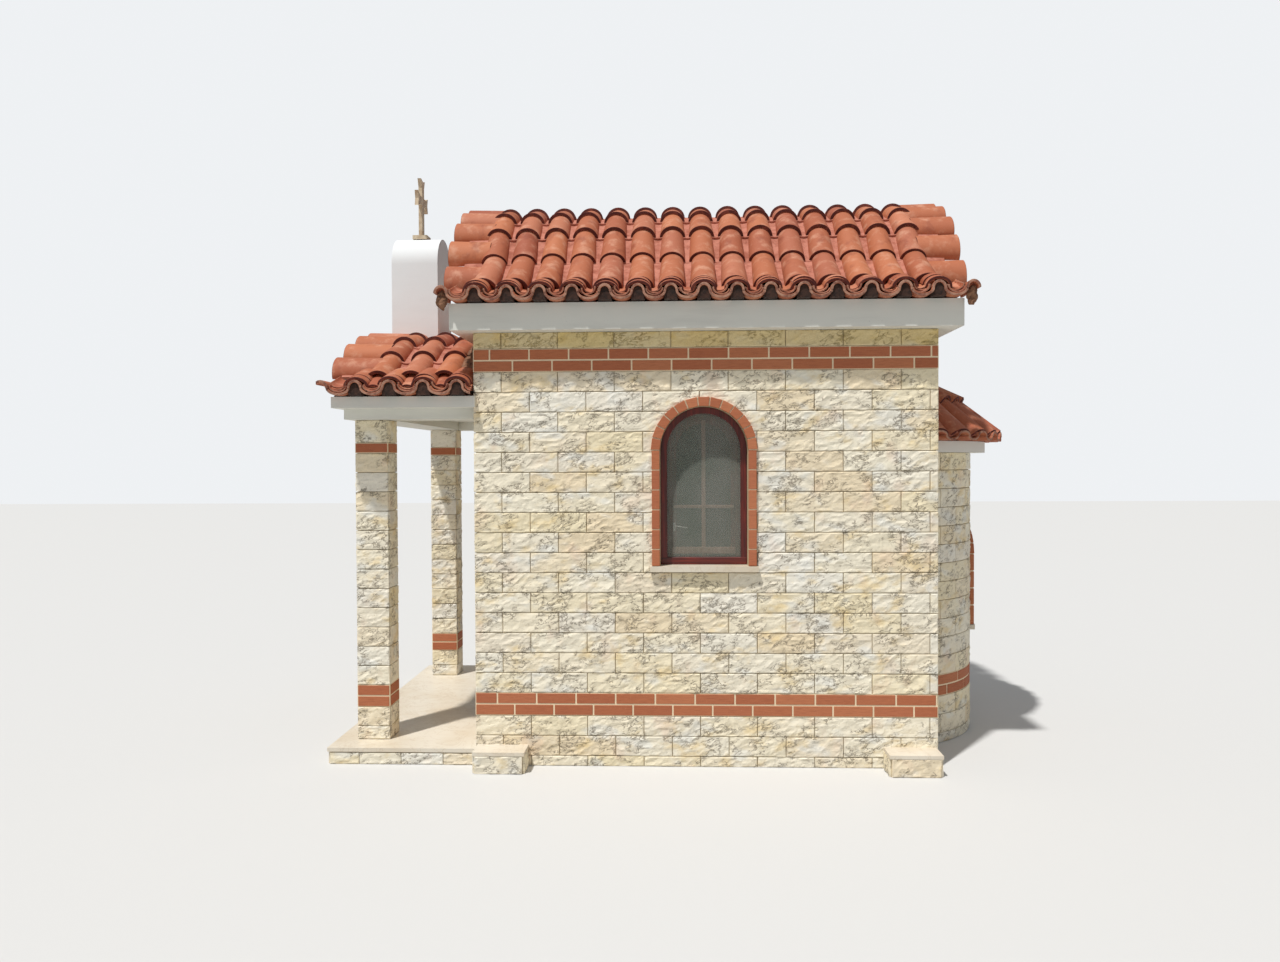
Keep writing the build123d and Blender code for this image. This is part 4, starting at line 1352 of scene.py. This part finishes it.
def vaulted_roof(vault, name, columns, pitch, middle, first_rise, courses, seeds):
    """Covers, channels and ridge caps over a vault, whose first rim lies at a rise over its spring."""
    first = vault.angle_at(vault.spring + first_rise)
    last = math.asin(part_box(name + "_ridge_tiles")[1].y / (vault.radius + TILE_CREST))
    rims = [first + (last - first) * k / courses for k in range(courses + 1)]
    eave = (-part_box(name + "_tiles_south")[0].y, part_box(name + "_eave_tiles")[1].z - 0.006)
    roof = Roof(vault, spread(columns, pitch, middle), rims, eave)
    cover_vault(roof, name, spread(columns - 1, pitch, middle), seeds[0])
    cover_ridge(roof, name, seeds[1])
    return roof


class CHAPEL_OT_nave_roof(bpy.types.Operator):
    """Covers, channels, ridge caps, eave rows and verge barrels on the nave"""

    bl_idname = "chapel.nave_roof"
    bl_label = "Nave roof"

    def execute(self, context):
        low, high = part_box("nave_tiles_south")
        columns = round((high.x - low.x) / 0.196)
        pitch = (high.x - low.x) / columns
        roof = vaulted_roof(NAVE_VAULT, "nave", columns, pitch, 0.0, 0.322, 3, (5, 7))
        wave = 0.2006
        cups = spread(16, wave)
        edge = cups[-1] + wave / 2
        eave_row("nave", cups, wave, ((-edge, -0.05), (edge, 0.05)), 11)
        lump_y, lump_level, lump_size = 1.432, 2.912, (0.034, 0.022, 0.060)
        corners = [(x, y, lump_level) for x in (-edge, edge) for y in (-lump_y, lump_y)]
        lumps = join([mortar_lump(corner, lump_size) for corner in corners], "nave_corner_mortar")
        settle(give(lumps, "ragged_mortar"), "roof_tile")
        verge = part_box("nave_verge_tiles")[1].x
        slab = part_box("nave_cornice")[1].x
        heads = roof.files[-1] + 0.03
        ends, beds = ((-verge, -heads), (verge, heads)), ((-slab, -heads), (heads, slab))
        verge_barrels(NAVE_VAULT, "nave", ends, beds, 0.225, 13)
        return {"FINISHED"}


class CHAPEL_OT_porch_roof(bpy.types.Operator):
    """Covers, channels, ridge caps, eave rows and verge barrels on the porch"""

    bl_idname = "chapel.porch_roof"
    bl_label = "Porch roof"

    def execute(self, context):
        low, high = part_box("porch_tiles_south")
        flashing = 0.085
        run = high.x - flashing - low.x
        columns = round(run / 0.214)
        pitch = run / columns
        middle = low.x + run / 2
        roof = vaulted_roof(PORCH_VAULT, "porch", columns, pitch, middle, 0.239, 2, (17, 19))
        cups = spread(columns + 2, pitch, middle)
        keep = ((-WALL_X - 0.012, 0, 0), (1, 0, 0))
        eave_row("porch", cups, pitch, ((cups[0] - pitch / 2, -0.024),), 23, roof.files, keep)
        heads = roof.files[0] - 0.03
        ends, beds = ((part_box("porch_verge_tiles")[0].x, heads),), ((PORCH_VAULT.low.x, heads),)
        verge_barrels(PORCH_VAULT, "porch", ends, beds, 0.33, 29)
        fillet = mortar_bed(PORCH_VAULT, roof.files[-1] + 0.07, high.x, roof.rims[0] + 0.06, 0.045)
        fillet.name = "porch_wall_fillet"
        settle(give(fillet, "ragged_mortar"), "roof_tile")
        return {"FINISHED"}


class CHAPEL_OT_apse_roof(bpy.types.Operator):
    """Fan of covers and channels on the apse, with its wavy eave"""

    bl_idname = "chapel.apse_roof"
    bl_label = "Apse roof"

    def execute(self, context):
        t = context.scene.chapel_tile
        rng = random.Random(31)
        step, rim, top = math.radians(11.2), math.radians(44), math.radians(71)
        slip = t.overlap / APSE.dome_radius
        eave_crest, wall, row_length = 2.118, 0.014, 0.16
        low_length = (APSE.around(0, APSE.eave - 0.05, APSE.base) - APSE.point(0, rim)).length
        high_length = APSE.dome_radius * (top - rim)
        low_cover = half_pipe((0.096, 0.080), (0.060, 0.062), low_length, t.wall, COVER, rows=2)
        high_cover = half_pipe((0.066, 0.080), (0.032, 0.042), high_length, t.wall, COVER, rows=3)
        low_channel = half_pipe((0.060, 0.045), (0.044, 0.036), low_length, wall, PAN, faces=8)
        high_channel = half_pipe((0.042, 0.036), (0.02, 0.02), high_length, wall, PAN, faces=8)
        upside_down(low_channel, 0.045)
        upside_down(high_channel, 0.036)
        front = APSE.eave - OVERHANG
        rise = (eave_crest - APSE.base - 0.002 - wall) / 2
        middle = APSE.base + 0.002 + wall / 2 + rise
        wave_end = (step * APSE.eave / 4 + wall / 2, rise + wall / 2)
        crest = half_pipe(wave_end, wave_end, row_length, wall, EAVE, faces=8)
        cup = copy_at(crest, Matrix.Rotation(math.pi, 4, "Y"))
        covers, channels, eave = [], [], []

        def course(kept, master, turn, foot, head_elevation, head_lift, length):
            out = APSE.point(turn, rim, 1.0) - APSE.point(turn, rim)
            kept.append(lay(master, foot, APSE.point(turn, head_elevation, head_lift), out, length, rng))

        def wave(master, turn, setback):
            foot = APSE.around(turn, front - setback, middle)
            head = APSE.around(turn, APSE.eave - row_length, middle)
            eave.append(lay(master, foot, head, UP, row_length, rng, 0.5))

        for turn in (k * step for k in range(-6, 7)):
            foot = APSE.around(turn, APSE.eave - 0.056, eave_crest - 0.050)
            course(covers, low_cover, turn, foot, rim + slip, -0.01, low_length)
            course(covers, high_cover, turn, APSE.point(turn, rim, 0.012), top, -0.005, high_length)
            wave(crest, turn, 0.0)
        for turn in ((k + 0.5) * step for k in range(-7, 7)):
            foot = APSE.around(turn, APSE.eave - 0.045, APSE.base + 0.02)
            course(channels, low_channel, turn, foot, rim + slip, -0.006, low_length)
            foot = APSE.point(turn, rim - 0.015, 0.006)
            course(channels, high_channel, turn, foot, top, -0.004, high_length)
            wave(cup, turn, rng.uniform(0.0, 0.006))
        discard(low_cover, high_cover, low_channel, high_channel, crest, cup)
        pieces = join(covers, "apse_covers"), join(channels, "apse_channels"), join(eave, "apse_eave_row")
        for piece in pieces:
            cut_off(piece, (WALL_X + 0.004, 0, 0), (-1, 0, 0))
        settle(hand_made(pieces[0]), "roof_tile", "apse_tiles")
        settle(hand_made(pieces[1]), "roof_tile")
        settle(hand_made(pieces[2], 0.003), "roof_tile")
        return {"FINISHED"}


# Windows and door


def arch_sheet(half, bottom, spring, depth, faces=24):
    """A round-headed sheet along Y, open below: what a frame or a ring is thickened from."""
    sheet = add_tube(2 * faces, half, depth, (0, depth / 2, spring))
    with editing(sheet):
        bpy.ops.mesh.bisect(plane_co=(0, 0, spring), plane_no=UP, clear_inner=True)
        pick(sheet, lambda place: place.z < spring + NEAR)
        bpy.ops.mesh.extrude_edges_move(TRANSFORM_OT_translate={"value": (0, 0, bottom - spring)})
    return sheet


def arch_ring(half, bottom, spring, band, depth):
    """A round-headed ring inside a half width, its face at the origin."""
    sheet = arch_sheet(half, bottom, spring, depth)
    return bevel(apply_modifier(sheet, "SOLIDIFY", thickness=band, offset=-1), 0.002, 1)


def arch_panel(half, bottom, spring, thickness, faces=24):
    """A round-headed panel in the XZ plane, its face at the origin."""
    sheet = arch_sheet(half, bottom, spring, thickness, faces)
    with editing(sheet):
        for edge in (
            lambda place: abs(place.y) < NEAR,
            lambda place: abs(place.y - thickness) < NEAR,
            lambda place: place.z < bottom + NEAR,
        ):
            pick(sheet, edge)
            bpy.ops.mesh.edge_face_add()
        bpy.ops.mesh.select_all(action="SELECT")
        bpy.ops.mesh.normals_make_consistent(inside=False)
    return sheet


SOUTH_WINDOW = wall_matrix((0, -WALL_Y, 0), EAST)
NORTH_WINDOW = wall_matrix((0, WALL_Y, 0), WEST)
EAST_WINDOW = wall_matrix((APSE_FACE, 0, 0), NORTH)
WEST_DOOR = wall_matrix((-WALL_X, 0, 0), SOUTH)


class CHAPEL_OT_brick_surrounds(bpy.types.Operator):
    """Bricks round the windows and the door"""

    bl_idname = "chapel.brick_surrounds"
    bl_label = "Brick surrounds"

    def execute(self, context):
        windows, door = Brickwork(), Brickwork()
        windows.surround(WINDOW, SOUTH_WINDOW, 0.02)
        windows.surround(WINDOW, NORTH_WINDOW, 0.02)
        windows.surround(APSE_WINDOW, EAST_WINDOW, 0.03, 0.020)
        windows.build("window_surround", None, "window_surrounds")
        door.surround(DOOR, WEST_DOOR, 0.02)
        door.build("door_surround", None, "door_surround")
        return {"FINISHED"}


def moved(thing, matrix):
    """Moves a thing's mesh by a matrix."""
    thing.data.transform(matrix)
    return thing


class CHAPEL_OT_sashes(bpy.types.Operator):
    """Sashes, bars, screens and handles in the long walls' windows"""

    bl_idname = "chapel.sashes"
    bl_label = "Window sashes"

    def execute(self, context):
        spring, gap = WINDOW.spring, 0.001
        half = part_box("window_glass")[1].z - spring
        bottom = WINDOW.sill + (WINDOW.half - half)
        frame_half, frame_bottom = WINDOW.half - gap, WINDOW.sill + gap
        sash_front, screen_front = 0.107, 0.078
        wood, bars, rails, screens, metal = [], [], [], [], []
        for matrix in (SOUTH_WINDOW, NORTH_WINDOW):
            sash = arch_ring(half, bottom, spring, 0.05, 0.012)
            wood.append(moved(sash, matrix @ at(0, sash_front + 0.012, 0)))
            screen_frame = arch_ring(frame_half, frame_bottom, spring, 0.040, 0.018)
            wood.append(moved(screen_frame, matrix @ at(0, screen_front, 0)))
            for kept, low, high, reach, face, depth in (
                (bars, bottom, spring + half - 0.03, 0.013, sash_front + 0.010, 0.014),
                (bars, 1.622, 1.642, half - 0.03, sash_front + 0.009, 0.014),
                (bars, 1.330, 1.374, half - 0.02, sash_front + 0.006, 0.016),
                (rails, frame_bottom, 1.312, frame_half - 0.002, screen_front - 0.001, 0.019),
            ):
                rail = bevel(add_box((-reach, face, low), (reach, face + depth, high)), 0.003, 1)
                kept.append(moved(rail, matrix))
            screen = arch_panel(frame_half - 0.01, frame_bottom + 0.01, spring, 0.0012)
            screens.append(moved(screen, matrix @ at(0, screen_front + 0.012, 0)))
            metal.append(window_handle(matrix, -half + 0.035, sash_front))
        settle(give(join(wood, "window_sashes"), "wood"), "dark_wood")
        # The bars get the paler mahogany: painted light.
        settle(give(join(bars, "window_bars"), "bar"), "dark_wood")
        settle(give(join(rails, "window_rails"), "wood_across"), "dark_wood")
        settle(give(join(screens, "window_screens"), "screen"), "glass")
        settle(smooth(join(metal, "window_handles")), "pale_stone")
        return {"FINISHED"}


def window_handle(matrix, x, front):
    """A small lever latch on a sash."""
    plate = bevel(add_box((x - 0.008, front + 0.004, 1.475), (x + 0.008, front + 0.012, 1.53)), 0.001, 1)
    lever = half_pipe((0.007, 0.006), (0.005, 0.005), 0.085, 0.003, ("nickel",), faces=5, arris=0)
    turn = Matrix.Rotation(math.radians(-97), 4, "Z") @ Matrix.Rotation(math.radians(-8), 4, "X")
    moved(lever, at(x, front, 1.508) @ turn)
    return moved(join([give(plate, "nickel"), lever], "latch"), matrix)


class CHAPEL_OT_door(bpy.types.Operator):
    """Boards, ledges and the handle of the entrance door"""

    bl_idname = "chapel.door"
    bl_label = "Entrance door"

    def execute(self, context):
        low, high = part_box("door_leaf")
        half, count, gap = high.y, 6, 0.001
        width = 2 * half / count
        place = WEST_DOOR @ at(0, WALL_X + low.x + 0.003, 0)
        boards = []
        for x in (-half + k * width for k in range(count)):
            board = add_box((x + gap, -0.004, low.z), (x + width - gap, 0.041, high.z))
            boards.append(bevel(board, 0.004, 2))
        boards = join(boards, "door_boards")
        cutter = moved(arch_panel(half, low.z - 0.01, high.z - half, 0.2, 32), at(0, -0.1, 0))
        apply_modifier(boards, "BOOLEAN", operation="INTERSECT", object=cutter, solver="EXACT")
        discard(cutter)
        settle(give(moved(boards, place), "wood"), "dark_wood", "door_leaf")
        reach = half - 0.04
        ledges = [
            bevel(add_box((-reach, -0.02, level - 0.05), (reach, -0.002, level + 0.05)), 0.004, 2)
            for level in (0.34, 0.98, 1.52)
        ]
        settle(give(moved(join(ledges, "door_ledges"), place), "wood_across"), "dark_wood")
        plate = bevel(add_box((0.235, -0.0075, 1.02), (0.27, -0.003, 1.2)), 0.0015, 2)
        lever = half_pipe((0.009, 0.008), (0.007, 0.006), 0.11, 0.004, ("brass",), faces=6, arris=0)
        moved(lever, at(0.2525, -0.045, 1.13) @ Matrix.Rotation(math.pi / 2, 4, "Z"))
        stem = bevel(add_box((0.245, -0.045, 1.124), (0.26, -0.004, 1.139)), 0.004, 2)
        handle = moved(join([plate, lever, stem], "door_handle"), place)
        settle(smooth(give(handle, "brass")), "pale_stone")
        return {"FINISHED"}


# What stays as the frame has it, with a finish

NODE_FINISHES = {
    "marble": ("nave_floor", "apse_floor", "porch_paving", "window_sills", "threshold", "plinth_caps"),
    "stone_joint": (
        "south_wall",
        "north_wall",
        "west_wall",
        "east_wall",
        "apse_wall_south",
        "apse_wall_east",
        "apse_wall_north",
        "porch_columns",
        "porch_base",
        "corner_plinths",
    ),
    "white_paint": ("nave_cornice", "apse_cornice", "porch_beam", "porch_slab"),
    "concrete": ("nave_vault", "porch_vault"),
    "pan": ("apse_dome",),
    "plaster": ("west_tympanum", "east_tympanum", "porch_tympanum", "belfry"),
    "pale_stone": ("cross",),
    "wood": ("window_frames", "door_frame"),
    "glass": ("window_glass",),
}


class CHAPEL_OT_plain_parts(bpy.types.Operator):
    """Finishes of the parts that stay as the frame has them"""

    bl_idname = "chapel.plain_parts"
    bl_label = "Plain parts"

    def execute(self, context):
        for name, nodes in NODE_FINISHES.items():
            for node in nodes:
                give(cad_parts[node], name)
        return {"FINISHED"}


# Stage


class StageSettings(bpy.types.PropertyGroup):
    sun: factor("Key light", "Strength of the key light", 3.2)
    sky: factor("Fill light", "Strength of the light from all round", 0.36)


class CHAPEL_OT_stage(bpy.types.Operator):
    """Camera, lights, floor and background"""

    bl_idname = "chapel.stage"
    bl_label = "Stage"

    def execute(self, context):
        scene = context.scene
        settings = scene.chapel_stage
        camera = bpy.data.objects.new("camera", bpy.data.cameras.new("camera"))
        scene.collection.objects.link(camera)
        camera.data.lens = 27.70
        camera.data.sensor_width = 36
        stand = Vector((-0.1474, -7.4435, 1.9136))
        yaw, pitch, roll = -0.0410, -0.0186, -0.0044
        ahead = Vector((math.sin(yaw) * math.cos(pitch), math.cos(yaw) * math.cos(pitch), math.sin(pitch)))
        right = Vector((math.cos(yaw), -math.sin(yaw), 0))
        top = right.cross(ahead)
        rolled_right = math.cos(roll) * right + math.sin(roll) * top
        rolled_top = math.cos(roll) * top - math.sin(roll) * right
        turn = Matrix((rolled_right, rolled_top, -ahead)).transposed()
        camera.matrix_world = Matrix.Translation(stand) @ turn.to_4x4()
        scene.camera = camera
        sun = bpy.data.objects.new("key", bpy.data.lights.new("key", "SUN"))
        scene.collection.objects.link(sun)
        sun.data.energy = settings.sun
        sun.data.angle = 0.035
        sun.data.color = (1.0, 0.98, 0.95)
        shine = Vector((0.240, 0.345, -0.907))
        sun.matrix_world = shine.to_track_quat("-Z", "Y").to_matrix().to_4x4()
        world = bpy.data.worlds.new("studio")
        scene.world = world
        world.use_nodes = True
        tree = world.node_tree
        fill = tree.nodes["Background"]
        fill.inputs["Color"].default_value = (0.93, 0.96, 1.0, 1)
        fill.inputs["Strength"].default_value = settings.sky
        back = tree.nodes.new("ShaderNodeBackground")
        back.inputs["Color"].default_value = (0.86, 0.88, 0.9, 1)
        ray = tree.nodes.new("ShaderNodeLightPath")
        seen = tree.nodes.new("ShaderNodeMixShader")
        tree.links.new(ray.outputs["Is Camera Ray"], seen.inputs["Fac"])
        tree.links.new(fill.outputs["Background"], seen.inputs[1])
        tree.links.new(back.outputs["Background"], seen.inputs[2])
        tree.links.new(seen.outputs["Shader"], tree.nodes["World Output"].inputs["Surface"])
        bpy.ops.object.select_all(action="DESELECT")
        bpy.ops.mesh.primitive_grid_add(x_subdivisions=4, y_subdivisions=4, size=80, location=(0, 0, 0))
        floor = give(apply_place(context.object), "floor")
        floor.name = "floor"
        scene.view_settings.view_transform = "Standard"
        return {"FINISHED"}


class CHAPEL_PT_panel(bpy.types.Panel):
    """The chapel's pieces"""

    bl_idname = "CHAPEL_PT_panel"
    bl_label = "Chapel"
    bl_space_type = "VIEW_3D"
    bl_region_type = "UI"
    bl_category = "Chapel"

    def draw(self, context):
        for group, kind in SETTINGS.items():
            box = self.layout.box()
            for name in kind.__annotations__:
                box.prop(getattr(context.scene, group), name)
        for operator in OPERATORS:
            self.layout.operator(operator.bl_idname)


SETTINGS = {
    "chapel_stone": StoneSettings,
    "chapel_brick": BrickSettings,
    "chapel_tile": TileSettings,
    "chapel_stage": StageSettings,
}
OPERATORS = (
    CHAPEL_OT_stage,
    CHAPEL_OT_plain_parts,
    CHAPEL_OT_long_walls,
    CHAPEL_OT_end_walls,
    CHAPEL_OT_apse_wall,
    CHAPEL_OT_columns,
    CHAPEL_OT_low_stones,
    CHAPEL_OT_nave_roof,
    CHAPEL_OT_porch_roof,
    CHAPEL_OT_apse_roof,
    CHAPEL_OT_brick_surrounds,
    CHAPEL_OT_sashes,
    CHAPEL_OT_door,
)


def register():
    for kind in (*SETTINGS.values(), *OPERATORS, CHAPEL_PT_panel):
        bpy.utils.register_class(kind)
    for name, kind in SETTINGS.items():
        setattr(bpy.types.Scene, name, bpy.props.PointerProperty(type=kind))


def unregister():
    for name in SETTINGS:
        delattr(bpy.types.Scene, name)
    for kind in (CHAPEL_PT_panel, *reversed(OPERATORS), *reversed(SETTINGS.values())):
        bpy.utils.unregister_class(kind)


def main():
    register()
    for operator in OPERATORS:
        group, name = operator.bl_idname.split(".")
        getattr(getattr(bpy.ops, group), name)()


if __name__ == "__main__":
    main()
